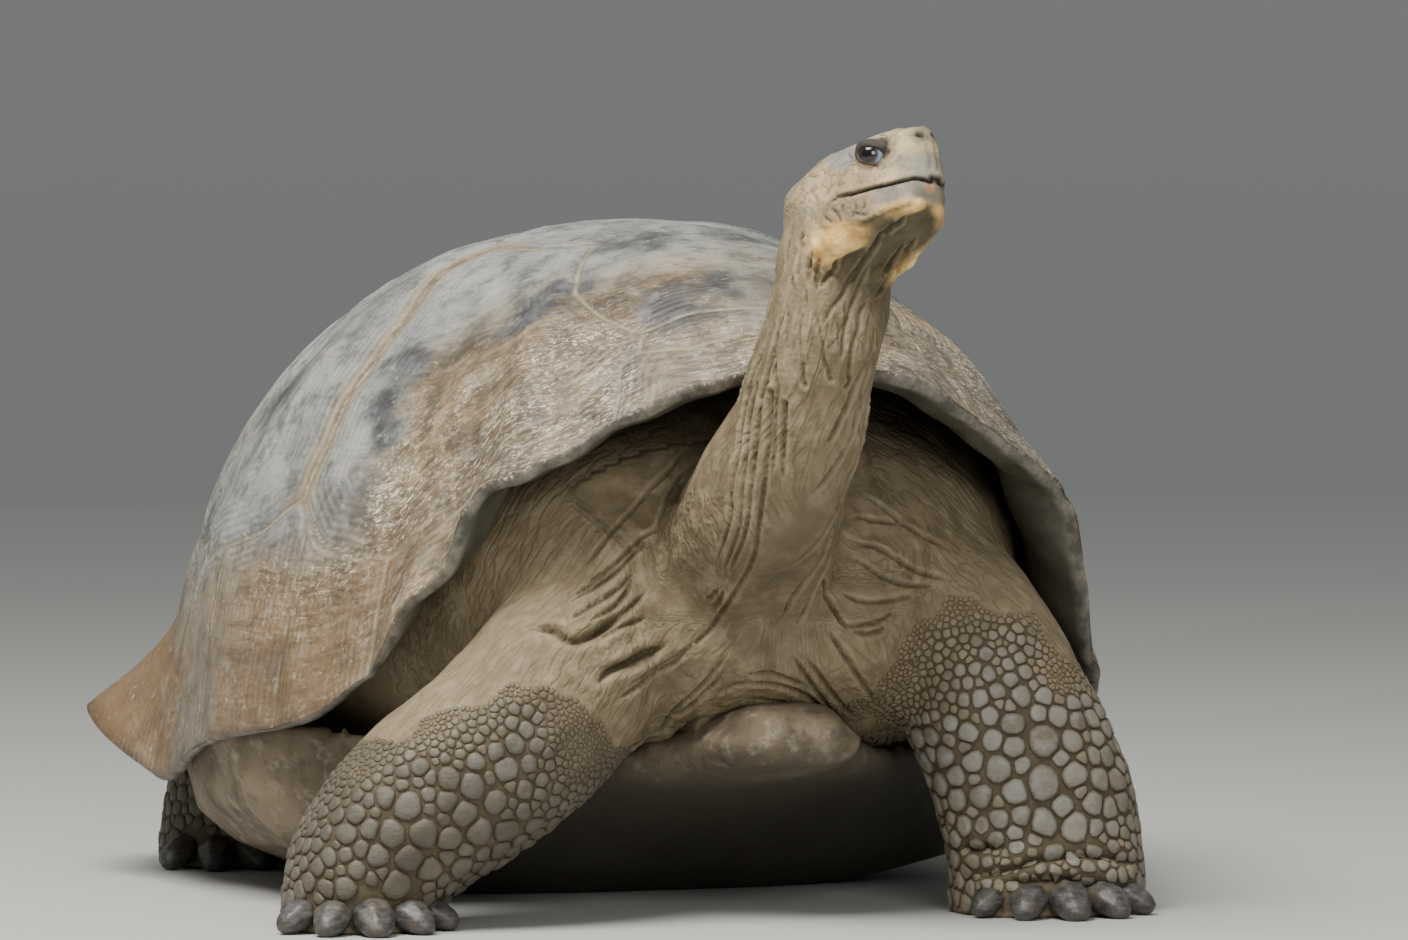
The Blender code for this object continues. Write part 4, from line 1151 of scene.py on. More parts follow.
def dome(angle, share):
    """Points of the shell's outside."""
    angle, share = np.broadcast_arrays(np.asarray(angle, float), np.asarray(share, float))
    height, flare, scallop, roundness = np.moveaxis(rim_at(angle), -1, 0)
    c, s = squared_off(np.cos(angle)), squared_off(np.sin(angle))
    out = np.sin(share * math.pi / 2) ** (2 / roundness)
    drop = np.maximum(np.cos(share * math.pi / 2), 0) ** (2 / roundness)
    reach = np.where(c > 0, FRONT, REAR)
    width = HALF_WIDTH * (1 - 0.14 * np.maximum(c, 0))
    start = 0.74 + 0.18 * (1 - np.cos(angle)) / 2
    turned = np.maximum(share - start, 0) / (1 - start)
    grown = (flare + scallop * (2 * abs(np.cos(angle * 11)) - 1) * turned) * turned**2
    x = width * s * out + np.sin(angle) * grown
    y = -reach * c * out - np.cos(angle) * grown
    return np.stack([x, y, height + (TOP - height) * drop], -1) + SHIFT


def dome_normal(angle, share):
    share = np.maximum(share, 0.03)
    down = dome(angle, np.minimum(share + 0.01, 1)) - dome(angle, share - 0.01)
    round_rim = dome(angle + 0.01, share) - dome(angle - 0.01, share)
    cross = np.cross(down, round_rim)
    return cross / np.linalg.norm(cross, axis=-1, keepdims=True)


def edge_wave(angle):
    """How far an old rim bends out of its even line at these angles, in metres."""
    round_rim = np.stack([np.cos(angle), np.sin(angle), 0 * angle], -1)
    turn = abs(np.degrees(angle))
    corners = 0.010 * bell(turn - 41.5, 3.0) + 0.009 * bell(turn - 58, 3.2)
    corners += 0.005 * bell(turn - 25, 3.5)
    return 0.0055 * lumps(round_rim, 0.17, 35) + 0.0035 * lumps(round_rim, 0.07, 36) + corners


print("rim height in front:", dome(0.0, 1.0)[2], "outward:", dome_normal(1.0, 0.5).round(2))

# %% [markdown]
# ## Seams between the scutes
# Each scute grows from its own middle, so the horn is thin along the seams, and pale lines with
# a shallow groove mark them. The seams are given as a few (angle, share) stops on the dome. They
# are mirrored to the other side and sampled closely, and a lookup then tells every point of the
# shell how far it is from a seam.

# %% The map of seams
RIM_SEAM = (
    (0, 0.82), (6, 0.80), (15, 0.83), (22, 0.76), (30, 0.84), (42, 0.87), (51, 0.89), (55, 0.85),
    (64, 0.80), (70, 0.78), (76, 0.72), (83, 0.765), (90, 0.78), (99, 0.77), (106, 0.735),
    (113, 0.775), (120, 0.78), (127, 0.775), (133, 0.745), (141, 0.785), (150, 0.79),
    (158, 0.76), (166, 0.79), (180, 0.80),
)  # the line all round, inside of which the marginals end
SIDE_SEAMS = (
    ((0, 0.256), (18, 0.272), (36, 0.290), (36, 0.38), (34.5, 0.481)),
    ((0, 0.692), (12, 0.690), (21.5, 0.695), (28, 0.59), (34.5, 0.481)),
    ((36, 0.290), (56, 0.235), (81, 0.204), (100, 0.160), (114, 0.144), (150, 0.085), (180, 0.057)),
    ((81, 0.204), (83, 0.30), (77, 0.42), (76, 0.51), (77, 0.57), (76, 0.64), (76, 0.72)),
    ((114, 0.144), (124, 0.200), (128, 0.261), (146, 0.292), (154, 0.295), (168, 0.275),
     (180, 0.261)),
    ((128, 0.261), (119, 0.42), (111, 0.60), (106, 0.735)),
    ((154, 0.295), (154, 0.36), (152.5, 0.419), (162, 0.470), (168, 0.494), (180, 0.472)),
    ((152.5, 0.419), (144, 0.56), (134, 0.70), (133, 0.745)),
    ((168, 0.494), (164, 0.58), (159.5, 0.67), (158, 0.76)),
    RIM_SEAM,
    ((21.5, 0.695), (22, 0.76)),
)
BETWEEN_MARGINALS = (0, 24.5, 40.9, 57.3, 73.6, 90, 106.4, 122.7, 139, 155.5, 171.8)


def seam_line(stops):
    """Points along one seam, every 2 mm or so, straight between its stops and wavering a little."""
    angle, share = np.array(stops, float).T
    t = np.linspace(0, len(stops) - 1, 80 * len(stops))
    near = np.arange(len(stops))
    wander = 0.004 * lumps(np.stack([t * 0.31 + angle[0], t * 0, t * 0], 1), 0.5, 21)
    angle, share = np.interp(t, near, angle), np.interp(t, near, share)
    return np.radians(angle + wander * 60), share + wander


seam_angle, seam_share = [], []
for stops in SIDE_SEAMS:
    angle, share = seam_line(stops)
    seam_angle += [angle, -angle]
    seam_share += [share, share]
for degrees in BETWEEN_MARGINALS:
    share = np.linspace(np.interp(degrees, *np.transpose(RIM_SEAM)), 1, 40)
    seam_angle += [np.full(40, math.radians(degrees)), np.full(40, -math.radians(degrees))]
    seam_share += [share, share]
seam_points = dome(np.concatenate(seam_angle), np.concatenate(seam_share))
seams = lookup_of(seam_points)
print("sampled seam points:", len(seam_points))

# %% [markdown]
# Rings of points round the crown would be the easy way to cover the dome, but they leave a
# pinched pole at the top. Instead, a flat square grid is bent into a disc and laid on the dome,
# and it is cut finer along the seams, where the groove needs more points.

# %% Bend a grid over the dome
CELLS = 170
bm = bmesh.new()
bmesh.ops.create_grid(bm, x_segments=CELLS, y_segments=CELLS, size=1)


def to_dome(square):
    """(angle, share) for points of a square from -1 to 1, by circles that grow from its middle."""
    a, b = square[:, 0], square[:, 1]
    share = np.maximum(abs(a), abs(b))
    wide = abs(a) >= abs(b)
    first, second = np.where(wide, a, b), np.where(wide, b, a)
    turn = math.pi / 4 * second / np.where(abs(first) > 1e-9, first, 1)
    angle = np.where(wide, turn, math.pi / 2 - turn) + np.where(first < 0, math.pi, 0)
    return np.arctan2(np.sin(angle), np.cos(angle)), share


def laid_on_dome(bm):
    """Angle, share, place and distance from a seam, for each vertex of the flat square."""
    angle, share = to_dome(np.array([vert.co[:2] for vert in bm.verts]))
    place = dome(angle, share)
    return angle, share, place, np.array([seams.find(point)[2] for point in place])


near_seam = laid_on_dome(bm)[3] < 0.013
edges = [edge for edge in bm.edges if any(near_seam[vert.index] for vert in edge.verts)]
bmesh.ops.subdivide_edges(bm, edges=edges, cuts=1, use_grid_fill=True)
bmesh.ops.triangulate(bm, faces=[face for face in bm.faces if len(face.verts) > 4])
bm.verts.index_update()
angle, share, place, seam_distance = laid_on_dome(bm)
print("outer points:", len(place), "nearest seam up to", round(seam_distance.max(), 3))

# %% [markdown]
# ## Grooves, swollen scutes and dents
# Along each seam the horn dips in a shallow trough with a narrow groove at its bottom. Scutes
# swell between the seams, and age leaves the whole shell a little uneven.

# %% Shape the outer face
height = -0.0016 * bell(seam_distance, 0.0030) - 0.0030 * bell(seam_distance, 0.016)
height += 0.0010 * bell(seam_distance - 0.007, 0.003) * ramp(share, 0.95, 0.9)
deep_trough = bell(np.degrees(abs(angle)) - 78, 7) * ramp(share, 0.30, 0.42)
deep_trough *= ramp(share, 0.70, 0.6)
height += -0.0045 * bell(seam_distance, 0.022) * deep_trough
rings = np.cos(seam_distance / 0.0085 * 2 * math.pi) * ramp(seam_distance, 0.006, 0.02)
height += 0.00035 * rings * (1 + lumps(place, 0.06, 30)) * ramp(share, 0.97, 0.9)
height += 0.0028 * lumps(place, 0.11, 31) + 0.0011 * lumps(place, 0.038, 32)
height += 0.0005 * lumps(place, 0.014, 33) - 0.0010
height *= ramp(share, 1.03, 0.97) * 0.85 + 0.15
height += edge_wave(angle) * ramp(share, 0.84, 1.0)
place = place + dome_normal(angle, share) * height[:, None]
for vert, point in zip(bm.verts, place):
    vert.co = point
print("relief of the shell, mm:", round(height.min() * 1000, 1), round(height.max() * 1000, 1))

# %% [markdown]
# The rim is then turned in. The open edge is extruded step by step round a thick lip and up the
# inside of the dome, and the last small ring is closed. In front the lip is thick and rounded,
# while along the flanks the shell keeps the wall that the solid has.

# %% Turn the rim in
INSIDE = ((1.0, 0.3, 2), (1.0, 0.7, 2), (0.99, 1.2, 0), (0.975, 1.6, 0), (0.955, 2.0, 0),
          (0.93, 2.35, 0), (0.90, 2.5, 0), (0.86, 2.35, 0), (0.81, 1.9, 0), (0.75, 1.4, 0),
          (0.68, 1.0, 0), (0.60, 1.0, 0), (0.52, 1.0, 0), (0.40, 1.0, 0), (0.28, 1.0, 0),
          (0.14, 1.0, 0))  # share, depth in walls, millimetres that the lip hangs down
edge_angle = {vert: a for vert, a, s in zip(bm.verts, angle, share) if s > 0.9999}
loop = [edge for edge in bm.edges if edge.is_boundary]
added_angle, added_share = [], []
for at, depth, lip in INSIDE:
    grown = bmesh.ops.extrude_edge_only(bm, edges=loop)["geom"]
    fresh = [item for item in grown if isinstance(item, bmesh.types.BMVert)]
    loop = [item for item in grown if isinstance(item, bmesh.types.BMEdge) and item.is_boundary]
    edge_angle = {
        vert: edge_angle[edge.other_vert(vert)]
        for vert in fresh
        for edge in vert.link_edges
        if edge.other_vert(vert) in edge_angle
    }
    angles = np.array([edge_angle[vert] for vert in fresh])
    outward = dome_normal(angles, at)
    thick = 1 + (depth - 1) * ramp(np.degrees(abs(angles)), 84, 62) if depth > 1 else depth
    spots = dome(angles, at) - outward * np.reshape(WALL * thick, (-1, 1))
    spots += outward * (edge_wave(angles) * ramp(at, 0.84, 1.0))[:, None]
    spots[:, 2] -= lip / 1000
    spots += outward * (0.0012 * lumps(spots, 0.05, 34))[:, None] * (depth >= 1)
    for vert, spot in zip(fresh, spots):
        vert.co = spot
    added_angle.append(angles)
    added_share.append(np.full(len(angles), 2 - at))
bmesh.ops.holes_fill(bm, edges=[edge for edge in bm.edges if edge.is_boundary], sides=0)
bmesh.ops.recalc_face_normals(bm, faces=bm.faces)
carapace = object_of(bm, "carapace")
angle = np.concatenate([angle] + added_angle)
share = np.concatenate([share] + added_share)
inner = np.arange(len(share)) >= len(seam_distance)
print("carapace:", sum(len(f.vertices) - 2 for f in carapace.data.polygons), "triangles")

# %% [markdown]
# The shell's wear is worked out per point too: the front and the flanks are rubbed brown and
# scratched pale, the top and the rear stay blue-grey, and dark weathered patches sit where a few
# scutes began to grow. A direction that runs round the dome lets scratches follow the rim.

# %% Marks of wear on the shell
turned, all_points = np.degrees(abs(angle)), points_of(carapace)
blotch = lumps(all_points, 0.12, 40)
worn = ramp(turned, 5, 13) * ramp(turned, 72, 58) * ramp(share, 0.42, 0.56)
worn = np.maximum(worn, ramp(turned, 92, 78) * ramp(share, 0.75, 0.84))
worn = np.maximum(worn, 0.9 * ramp(turned, 92, 104) * ramp(share, 0.84, 0.93))
worn = np.clip(worn + 0.40 * blotch * (worn > 0.02), 0, 1) * (share <= 1)
cool = ramp(turned, 56, 66) * ramp(share, 0.84, 0.74) + ramp(share, 0.46, 0.34)
cool = np.clip(cool + 0.45 * lumps(all_points, 0.09, 41), 0, 1)
all_seams = np.concatenate([seam_distance, np.full(inner.sum(), 0.1)])
trough = bell(all_seams, 0.015) * ramp(turned, 64, 69) * ramp(turned, 90, 84)
trough *= ramp(share, 0.12, 0.24) * ramp(share, 0.76, 0.70)
rust = ramp(turned, 50, 58) * ramp(share, 0.76, 0.86)
rust = np.maximum(rust, ramp(turned, 92, 104) * ramp(share, 0.84, 0.93))
rust = np.clip(rust * (0.75 + 0.5 * blotch), 0, 1) * ramp(turned, 150, 120)
flecked = worn * (0.25 + 0.75 * ramp(share, 0.56, 0.78)) * (1 - 0.8 * rust)

DARK_SPOTS = (
    (42, 0.51, 0.042), (36, 0.47, 0.030), (65, 0.51, 0.034), (67, 0.58, 0.028),
    (63, 0.645, 0.030), (16, 0.66, 0.040), (8, 0.60, 0.036), (76, 0.93, 0.036),
    (20, 0.30, 0.050), (100, 0.55, 0.050), (118, 0.86, 0.040),
)  # degrees from the front, share, radius in metres
dark_spot = np.zeros(len(share))
ragged = 0.018 * lumps(all_points, 0.026, 42) + 0.007 * lumps(all_points, 0.009, 43)
for degrees, down, wide in DARK_SPOTS:
    for side in (1, -1):
        middle = dome(math.radians(degrees) * side, down)
        far = np.linalg.norm((all_points - middle) * (0.8, 0.8, 1.2), axis=1)
        dark_spot = np.maximum(dark_spot, ramp(far + ragged, wide * 1.15, wide * 0.3))
put_marks(carapace, {"seam": all_seams, "trough": trough, "rust": rust, "flecked": flecked,
                     "worn": worn, "cool": cool, "dark_spot": dark_spot,
                     "inside": np.where(inner, share - 0.996, 0)})
put_flow(carapace, np.stack([np.cos(angle), np.sin(angle), share + 0.05 * abs(angle)], 1))
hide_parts("carapace_front", "carapace_rear")
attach(carapace, "root")
print("worn share of the shell:", round(float(worn.mean()), 2))

# %% [markdown]
# ## Finishes
# Every finish is built from nodes. A short helper class adds one node per call and returns its
# output, so that a finish reads like a recipe: a ground colour, patches laid over it, dirt in the
# creases, and a relief too fine for the mesh.

# %% A helper for recipes of nodes
class Finish:
    """A material on a Principled shader. `color` is the paint so far, and `over` adds a coat."""

    def __init__(self, name, **sockets):
        self.material = bpy.data.materials.new(name)
        self.material.use_nodes = True
        self.nodes = self.material.node_tree.nodes
        self.links = self.material.node_tree.links
        self.shader = self.nodes["Principled BSDF"]
        for socket, value in sockets.items():
            self.shader.inputs[socket.replace("_", " ")].default_value = value
        self.place = self.nodes.new("ShaderNodeTexCoord").outputs["Object"]
        self.color = None

    def add(self, kind, inputs, output=0, **settings):
        """One node with its inputs set or linked; gives back one of its outputs."""
        node = self.nodes.new("ShaderNode" + kind)
        for key, value in settings.items():
            setattr(node, key, value)
        for key, value in inputs.items():
            if isinstance(value, bpy.types.NodeSocket):
                self.links.new(value, node.inputs[key])
                continue
            if isinstance(value, tuple) and node.inputs[key].type == "RGBA":
                value = (*value, 1)
            node.inputs[key].default_value = value
        return node.outputs[output]

    def noise(self, scale, detail=4, rough=0.55, at=None, warp=0.0):
        return self.add("TexNoise", {"Vector": at or self.place, "Scale": scale, "Detail": detail,
                                     "Roughness": rough, "Distortion": warp})

    def cells(self, scale, at=None, feature="F1"):
        inputs = {"Vector": at or self.place, "Scale": scale}
        return self.add("TexVoronoi", inputs, "Distance", feature=feature)

    def stretched(self, scale, at=None):
        return self.add("Mapping", {"Vector": at or self.place, "Scale": scale})

    def mark(self, name, output="Fac"):
        return self.add("Attribute", {}, output, attribute_name=name)

    def math(self, operation, a, b=0.5):
        return self.add("Math", {0: a, 1: b}, operation=operation)

    def times(self, a, b):
        return self.math("MULTIPLY", a, b)

    def plus(self, a, b):
        return self.math("ADD", a, b)

    def minus(self, a, b):
        return self.math("SUBTRACT", a, b)

    def rise(self, value, low, high, bottom=0.0, top=1.0):
        """From bottom to top as the value goes from low to high."""
        return self.add("MapRange", {"Value": value, "From Min": low, "From Max": high,
                                     "To Min": bottom, "To Max": top}, clamp=True)

    def patches(self, scale, low, high, bottom=0.0, top=1.0, detail=4, rough=0.55):
        """Soft patches of noise, with their edges between low and high."""
        return self.rise(self.noise(scale, detail, rough), low, high, bottom, top)

    def mix(self, share, a, b):
        return self.add("Mix", {0: share, 6: a, 7: b}, 2, data_type="RGBA")

    def over(self, share, paint):
        """Lays a paint over the colour so far."""
        self.color = self.mix(share, self.color, paint)

    def finish(self, height, depth, rough=None):
        """Joins up the recipe: colour, relief with its depth in metres, and roughness."""
        self.links.new(self.color, self.shader.inputs["Base Color"])
        bump = self.add("Bump", {"Height": height, "Distance": depth, "Strength": 1.0})
        self.links.new(bump, self.shader.inputs["Normal"])
        if rough is not None:
            self.links.new(rough, self.shader.inputs["Roughness"])
        return self.material


print("recipe calls:", [name for name in vars(Finish) if not name.startswith("_")])

# %% [markdown]
# ### Skin
# Old leather: a warm grey-brown that varies from hand to hand, with painted shade darkening every
# crease. The face is paler, with its scutes parted by thin lines. It could be one material per
# region, but their borders would show, so one recipe lays each region's paint over the leather, by
# the marks that the points carry.

# %% Skin finish: leather and face
f = Finish("leathery_skin", Roughness=0.72, Specular_IOR_Level=0.30)
fine = f.noise(45.0, 5, 0.6)
f.color = f.mix(f.patches(6.0, 0.35, 0.65), (0.140, 0.107, 0.060), (0.240, 0.188, 0.112))
f.over(f.rise(fine, 0.45, 0.75), (0.300, 0.245, 0.160))

pale = f.mix(f.patches(30.0, 0.3, 0.7), (0.255, 0.190, 0.108), (0.520, 0.400, 0.240))
dirty = f.patches(95.0, 0.52, 0.34, 0, 0.75, detail=5, rough=0.7)
pale = f.mix(dirty, pale, (0.150, 0.112, 0.066))
bluish = f.times(f.patches(38.0, 0.54, 0.62, 0, 0.8, detail=3), f.mark("plates"))
pale = f.mix(bluish, pale, (0.205, 0.203, 0.212))
f.over(f.mark("face"), pale)

wobble = f.add("TexNoise", {"Vector": f.place, "Scale": 60.0}, 1)
wobble = f.add("VectorMath", {0: wobble, "Scale": 0.010}, operation="SCALE")
edges = f.cells(70.0, f.add("VectorMath", {0: f.place, 1: wobble}), "DISTANCE_TO_EDGE")
plate_line = f.times(f.rise(edges, 0.09, 0.02), f.mark("plates"))
f.over(f.times(plate_line, 0.26), (0.11, 0.085, 0.055))
print("leather and face, nodes:", len(f.nodes))

# %% [markdown]
# The jaw's ochre, the beak's grey horn, the dark lids and the dark throat come next, each with a
# little noise in its strength or its colour, so that no border looks cut out. The throat's dark
# brown is partly its own colour and partly painted shade under the jaw.

# %% Skin finish: marks of the head
f.over(f.times(f.mark("sallow"), 0.85), f.mix(fine, (0.105, 0.080, 0.048), (0.225, 0.175, 0.110)))
ochre = f.mix(f.rise(fine, 0.35, 0.65), (0.66, 0.36, 0.090), (0.98, 0.68, 0.27))
f.over(f.times(f.mark("ochre"), f.patches(75.0, 0.32, 0.48, 0.45, 1)), ochre)
horn = f.mix(f.patches(60.0, 0.3, 0.7, detail=3), (0.125, 0.117, 0.094), (0.265, 0.250, 0.210))
f.over(f.times(f.mark("beak"), f.patches(48.0, 0.35, 0.55, 0.35, 1)), horn)
f.over(f.mark("stain"), (0.62, 0.22, 0.04))
f.over(f.times(f.mark("nose"), 0.75), (0.075, 0.068, 0.060))
# the throat: darker skin, partly its own colour and partly painted shade under the jaw
throat_skin_and_shade = f.mix(f.rise(fine, 0.35, 0.65), (0.070, 0.058, 0.032), (0.125, 0.105, 0.060))
f.over(f.mark("throat"), throat_skin_and_shade)
f.over(f.mark("lid"), f.mix(f.rise(fine, 0.35, 0.7), (0.026, 0.020, 0.018), (0.085, 0.066, 0.055)))
print("with the head's marks:", len(f.nodes))

# %% [markdown]
# Creases are painted dark as shade, with a darker painted shadow line along each fold, and the
# edges of folds are rubbed pale. The finest pleats are only paint and relief: noise stretched
# along the folds, painted dark as shade and sunk where it crosses its middle. The hollow at the
# base of the neck is painted dark as shade too, and the skin drawn in under the leg scales is a
# darker brown.

# %% Skin finish: creases, soil and grain
pleat = f.noise(1.0, 2, 0.4, at=f.stretched((95, 95, 70), f.mark("flow", "Vector")))
valley = f.rise(f.math("ABSOLUTE", f.minus(pleat, 0.5)), 0.10, 0.0)
valley = f.times(valley, f.mark("pleated"))
# painted shade along the middle of the finest pleats
f.over(f.times(valley, 0.36), (0.085, 0.062, 0.034))
# painted shade in every crease
f.over(f.times(f.mark("crease"), 0.28), (0.065, 0.048, 0.026))
fold_far = f.mark("fold_far")
fold = f.rise(fold_far, 0.0026, 0.0002)
# painted shadow: a thin dark line along each fold
f.over(f.times(fold, 0.55), (0.040, 0.029, 0.016))
rubbed = f.times(f.rise(fold_far, 0.0030, 0.0050), f.rise(fold_far, 0.0095, 0.0060))
f.over(f.times(rubbed, 0.25), (0.40, 0.33, 0.21))
# painted shade: near black along the mouth's gap and in the nostrils
f.over(f.mark("slot"), (0.016, 0.012, 0.010))
# painted shade in the hollow at the neck's base, and darker skin under the leg scales
f.over(f.times(f.mark("soiled"), 0.8), (0.062, 0.046, 0.026))

height = f.plus(f.times(f.cells(240.0, feature="SMOOTH_F1"), 0.7), f.times(fine, 0.8))
for line, depth in ((valley, 0.9), (fold, 0.5), (plate_line, 0.4)):
    height = f.minus(height, f.times(line, depth))
height = f.times(height, f.rise(f.mark("beak"), 0, 1, 1.0, 0.15))
skin.data.materials.append(f.finish(height, 0.0011))
print("skin nodes:", len(f.nodes))

# %% [markdown]
# ### Leg scales
# Each scale is grey horn, bluish where it is rubbed smooth on top and brown with soil towards its
# edge. Its own number, from -1 to 1, makes neighbours differ. The right foreleg is painted darker,
# more so towards the foot: painted shade on its lower part.

# %% Scale finish
f = Finish("leg_horn", Roughness=0.5, Specular_IOR_Level=0.4)
tone = f.rise(f.mark("tone"), -1, 1)
f.color = f.mix(tone, (0.150, 0.128, 0.088), (0.235, 0.220, 0.180))
f.over(f.patches(90.0, 0.42, 0.68, 0, 0.8), (0.27, 0.265, 0.25))
soil = f.mix(tone, (0.155, 0.115, 0.062), (0.225, 0.172, 0.098))
f.over(f.rise(f.mark("broad"), 0.018, 0.005), soil)
f.over(f.patches(7.0, 0.45, 0.70, 0, 0.6), soil)
sideways, upwards = (f.add("SeparateXYZ", {0: f.place}, axis) for axis in (0, 2))
# painted shade: the right side's lower scales are darkened, more so towards the ground
shaded_low_right = f.times(f.rise(sideways, 0.04, -0.04), f.rise(upwards, 0.30, 0.14, 0.15, 1))
f.over(f.times(shaded_low_right, f.patches(16.0, 0.3, 0.6, 0.45, 0.85)), (0.070, 0.060, 0.042))
rim = f.mark("rim")
f.over(f.rise(rim, 0.70, 0.98), (0.105, 0.082, 0.052))
f.over(f.rise(rim, 0.90, 1.0), (0.035, 0.026, 0.016))
scratch = f.noise(1.0, 4, 0.6, at=f.stretched((120, 120, 420)))
rough = f.patches(55.0, 0.3, 0.7, 0.42, 0.70, detail=3)
leg_horn = f.finish(f.plus(scratch, f.noise(260.0, 3)), 0.0006, rough)
for coat in coats:
    coat.data.materials.append(leg_horn)
print("scale finish on", len(coats), "pieces")

# %% [markdown]
# ### Shell
# Horn again, but weathered. Its top is blue-grey, and its front and flanks are rubbed brown. Over
# them go pale flecks and streaks that follow the rim, and the dark patches of the oldest horn.

# %% Shell finish: ground, flecks and patches
f = Finish("weathered_shell", Roughness=0.5, Specular_IOR_Level=0.5)
flow, worn, rust = f.mark("flow", "Vector"), f.mark("worn"), f.mark("rust")
base = f.patches(9.0, 0.35, 0.65, detail=5, rough=0.6)
f.color = f.mix(base, (0.130, 0.115, 0.088), (0.345, 0.310, 0.245))
cool = f.mix(f.patches(14.0, 0.35, 0.65), (0.140, 0.147, 0.148), (0.350, 0.350, 0.325))
f.over(f.mark("cool"), cool)
rubbed = f.patches(12.0, 0.35, 0.65, detail=5, rough=0.65)
rubbed = f.mix(rubbed, (0.060, 0.039, 0.021), (0.265, 0.180, 0.097))
rusty = f.patches(22.0, 0.35, 0.65, detail=5, rough=0.65)
rusty = f.mix(rusty, (0.115, 0.074, 0.040), (0.310, 0.195, 0.104))
f.over(worn, f.mix(rust, rubbed, rusty))

streaks = f.noise(1.0, 5, 0.65, at=f.stretched((11, 11, 120), flow))
fleck = f.noise(1.0, 5, 0.75, at=f.stretched((58, 58, 165), flow), warp=0.9)
scratched = f.times(f.rise(fleck, 0.52, 0.59), f.rise(f.mark("flecked"), 0.15, 0.6))
f.over(f.times(scratched, f.patches(13.0, 0.38, 0.60, 0.15, 1.0, rough=0.6)), (0.82, 0.73, 0.57))
brushed = f.rise(worn, 0.0, 0.6, 0.30, 1)
f.over(f.times(f.rise(streaks, 0.53, 0.66, 0, 0.30), brushed), (0.46, 0.385, 0.27))
f.over(f.times(f.rise(streaks, 0.47, 0.34, 0, 0.7), brushed), (0.050, 0.039, 0.027))
oldest = f.mix(f.patches(34.0, 0.42, 0.66, detail=5), (0.026, 0.029, 0.034), (0.105, 0.114, 0.125))
f.over(f.times(f.mark("dark_spot"), 0.92), oldest)
mottle = f.noise(38.0, 6, 0.7)
f.over(f.rise(mottle, 0.50, 0.66, 0, 0.32), (0.42, 0.385, 0.32))
f.over(f.rise(mottle, 0.50, 0.36, 0, 0.65), (0.075, 0.066, 0.052))
f.over(f.times(rust, f.patches(10.0, 0.3, 0.6, 0.25, 0.85)), (0.165, 0.103, 0.052))
print("shell ground, nodes:", len(f.nodes))

# %% [markdown]
# The seams are pale with a dark edge, growth lines run beside them, and the deepest trough holds
# brown dust. Under the rim the shell is dark and greenish, partly its own colour and partly
# painted shade, and further in it is painted near black as shade. The lip has a paler edge,
# partly wear and partly painted light. A wave of noise added to the distance makes the lines
# waver, as ruled lines would look printed.

# %% Shell finish: seams, growth lines and inside
dust = f.times(f.mark("trough"), f.rise(mottle, 0.30, 0.60, 0.45, 1.1))
f.over(f.rise(dust, 0.15, 0.7, 0, 0.85), (0.30, 0.225, 0.130))
f.over(f.rise(dust, 0.75, 0.98, 0, 0.8), (0.105, 0.080, 0.050))
seam = f.mark("seam")
near_seam = f.plus(seam, f.times(f.minus(f.noise(42.0, 4, 0.6), 0.5), 0.007))
rings = f.times(f.math("SINE", f.times(near_seam, 740.0)), f.rise(seam, 0.10, 0.004))
f.over(f.rise(rings, 0.2, 1.0, 0, 0.16), (0.12, 0.115, 0.10))
shows = f.times(f.rise(worn, 0.3, 0.9, 1.0, 0.7), f.patches(45.0, 0.35, 0.55, 0.35, 1, detail=3))
f.over(f.times(f.rise(near_seam, 0.0060, 0.0028, 0, 0.6), shows), (0.120, 0.100, 0.072))
f.over(f.times(f.rise(near_seam, 0.0028, 0.0008, 0, 0.7), shows), (0.450, 0.370, 0.245))
f.over(f.times(f.patches(85.0, 0.62, 0.68, rough=0.7), 0.35), (0.52, 0.55, 0.44))

inside = f.mark("inside")
# the lip's edge: paler, partly wear and partly painted light
f.over(f.rise(inside, 0.0, 0.003),
       f.mix(f.rise(mottle, 0.38, 0.62), (0.060, 0.056, 0.044), (0.235, 0.215, 0.170)))
# under the rim: dark greenish horn, partly its own colour and partly painted shade, near black
# further in
under = f.mix(f.patches(20.0, 0.35, 0.65), (0.042, 0.043, 0.030), (0.115, 0.108, 0.080))
under = f.mix(f.rise(inside, 0.05, 0.22), under, (0.030, 0.028, 0.020))
f.over(f.rise(inside, 0.004, 0.012), under)
relief = f.times(f.plus(f.times(rings, 0.35), streaks), f.rise(inside, 0, 0.003, 1, 0))
relief = f.plus(relief, f.times(f.noise(130.0, 5, 0.65), 0.9))
carapace.data.materials.append(f.finish(relief, 0.0011, f.patches(25.0, 0.3, 0.7, 0.34, 0.62)))
print("shell nodes:", len(f.nodes))

# %% [markdown]
# ### Belly plate and nails
# The belly plate is rough brown horn that drags over the ground, so its relief is coarse. Its low
# middle, inward of the bridges at the sides, is painted dark as shade under the belly. Nails grow
# in layers, which leaves faint rings along them.

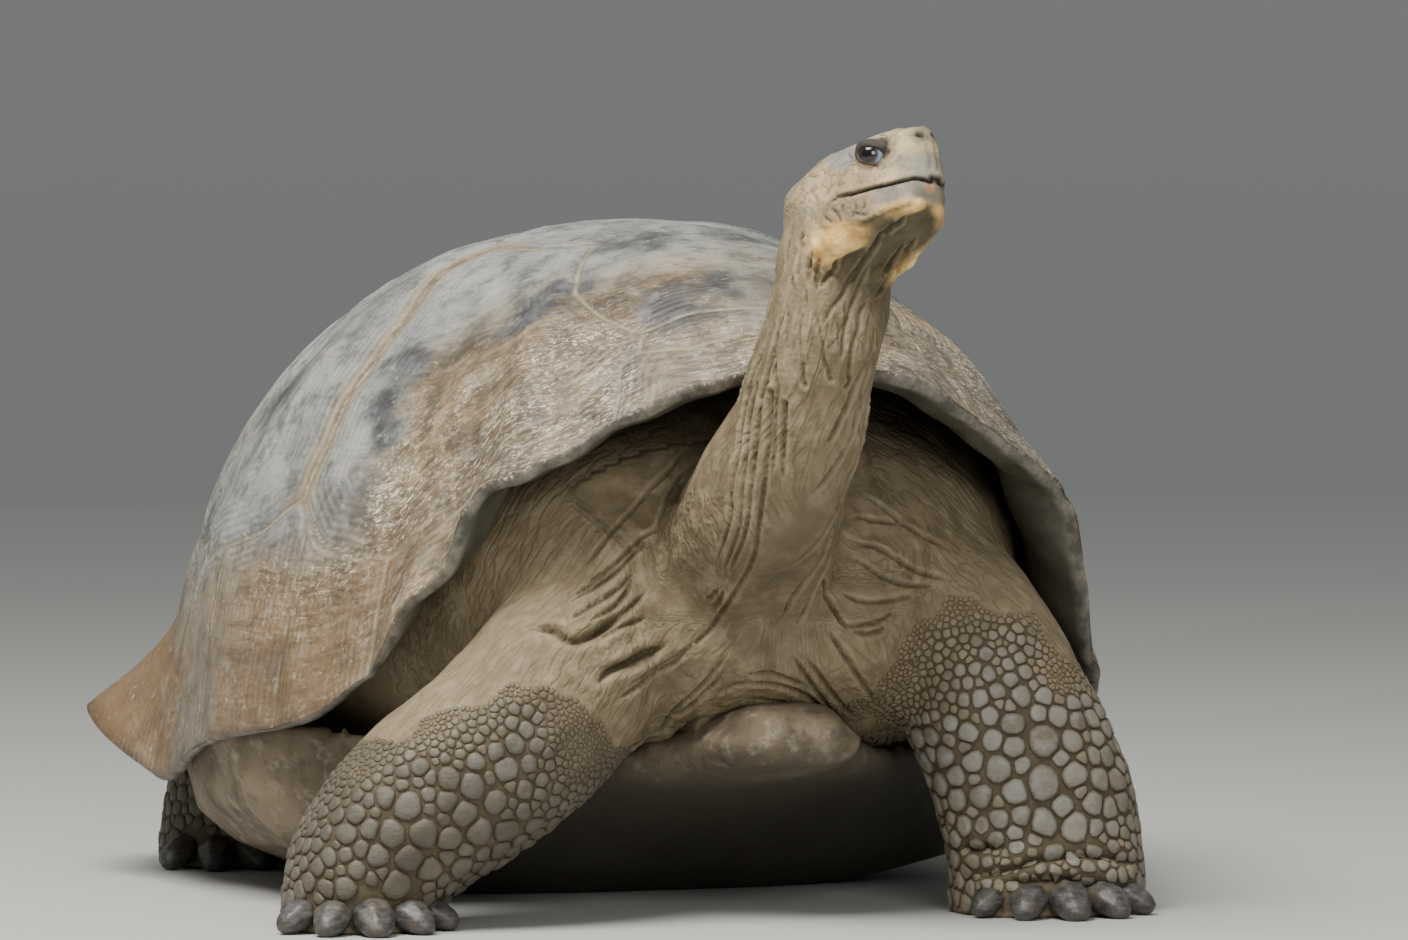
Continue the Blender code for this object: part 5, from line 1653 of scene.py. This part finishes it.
# %% Belly plate finish
f = Finish("belly_horn", Roughness=0.72)
f.color = f.mix(f.patches(14.0, 0.35, 0.65), (0.120, 0.088, 0.052), (0.270, 0.212, 0.140))
f.over(f.patches(48.0, 0.54, 0.70, 0, 0.6, detail=5, rough=0.65), (0.46, 0.41, 0.32))
sideways, upwards = (f.add("SeparateXYZ", {0: f.place}, axis) for axis in (0, 2))
# painted shade: the low middle of the belly plate is darkened, less at the sides
shade_under_belly = f.times(f.rise(upwards, 0.175, 0.120, 0, 0.93),
               f.rise(f.math("ABSOLUTE", sideways), 0.37, 0.28))
f.over(shade_under_belly, (0.050, 0.047, 0.032))
f.over(f.patches(26.0, 0.50, 0.36, 0, 0.7, detail=6, rough=0.7), (0.070, 0.054, 0.036))
plastron.data.materials.append(f.finish(f.noise(60.0, 7, 0.7), 0.0035))
print("belly plate nodes:", len(f.nodes))

# %% Nail finish
f = Finish("nail_horn", Roughness=0.42, Specular_IOR_Level=0.5)
grown = f.noise(1.0, 4, 0.6, at=f.stretched((90, 90, 260)))
f.color = f.mix(f.rise(grown, 0.35, 0.65), (0.036, 0.033, 0.030), (0.092, 0.088, 0.083))
f.over(f.patches(40.0, 0.5, 0.7, 0, 0.6, detail=3), (0.130, 0.100, 0.062))
nail_horn = f.finish(f.plus(grown, f.noise(200.0, 3)), 0.0007)
for claw in claws:
    claw.data.materials.append(nail_horn)
print("nail finish on", len(claws), "pieces")

# %% [markdown]
# ### Dark and wet: a black pupil in a brown iris, then a blue-grey ring and a pale blue-grey edge that
# are painted reflection, under a clear gloss.
# Dark and wet: a black pupil in a brown iris with a pale blue-grey edge, under a clear gloss.
# The colours follow each point's angle from the pupil's middle.

# %% Eye finish
f = Finish("wet_eye", Roughness=0.10, Coat_Weight=0.6, Coat_Roughness=0.02, Specular_IOR_Level=0.4)
out = f.mark("from_pupil")
f.color = f.mix(f.rise(out, 0.30, 0.36), (0.003, 0.003, 0.004), (0.020, 0.014, 0.011))
# painted reflection: a blue-grey ring, then a pale blue-grey edge round the iris
f.over(f.rise(out, 0.62, 0.72), (0.050, 0.068, 0.090))
f.over(f.rise(out, 0.76, 0.92), (0.33, 0.40, 0.47))
wet_eye = f.finish(f.noise(300.0, 2), 0.00002)
for eye in eyes:
    eye.data.materials.append(wet_eye)
print("eye finish on", len(eyes), "pieces")

# %% [markdown]
# ## Finish
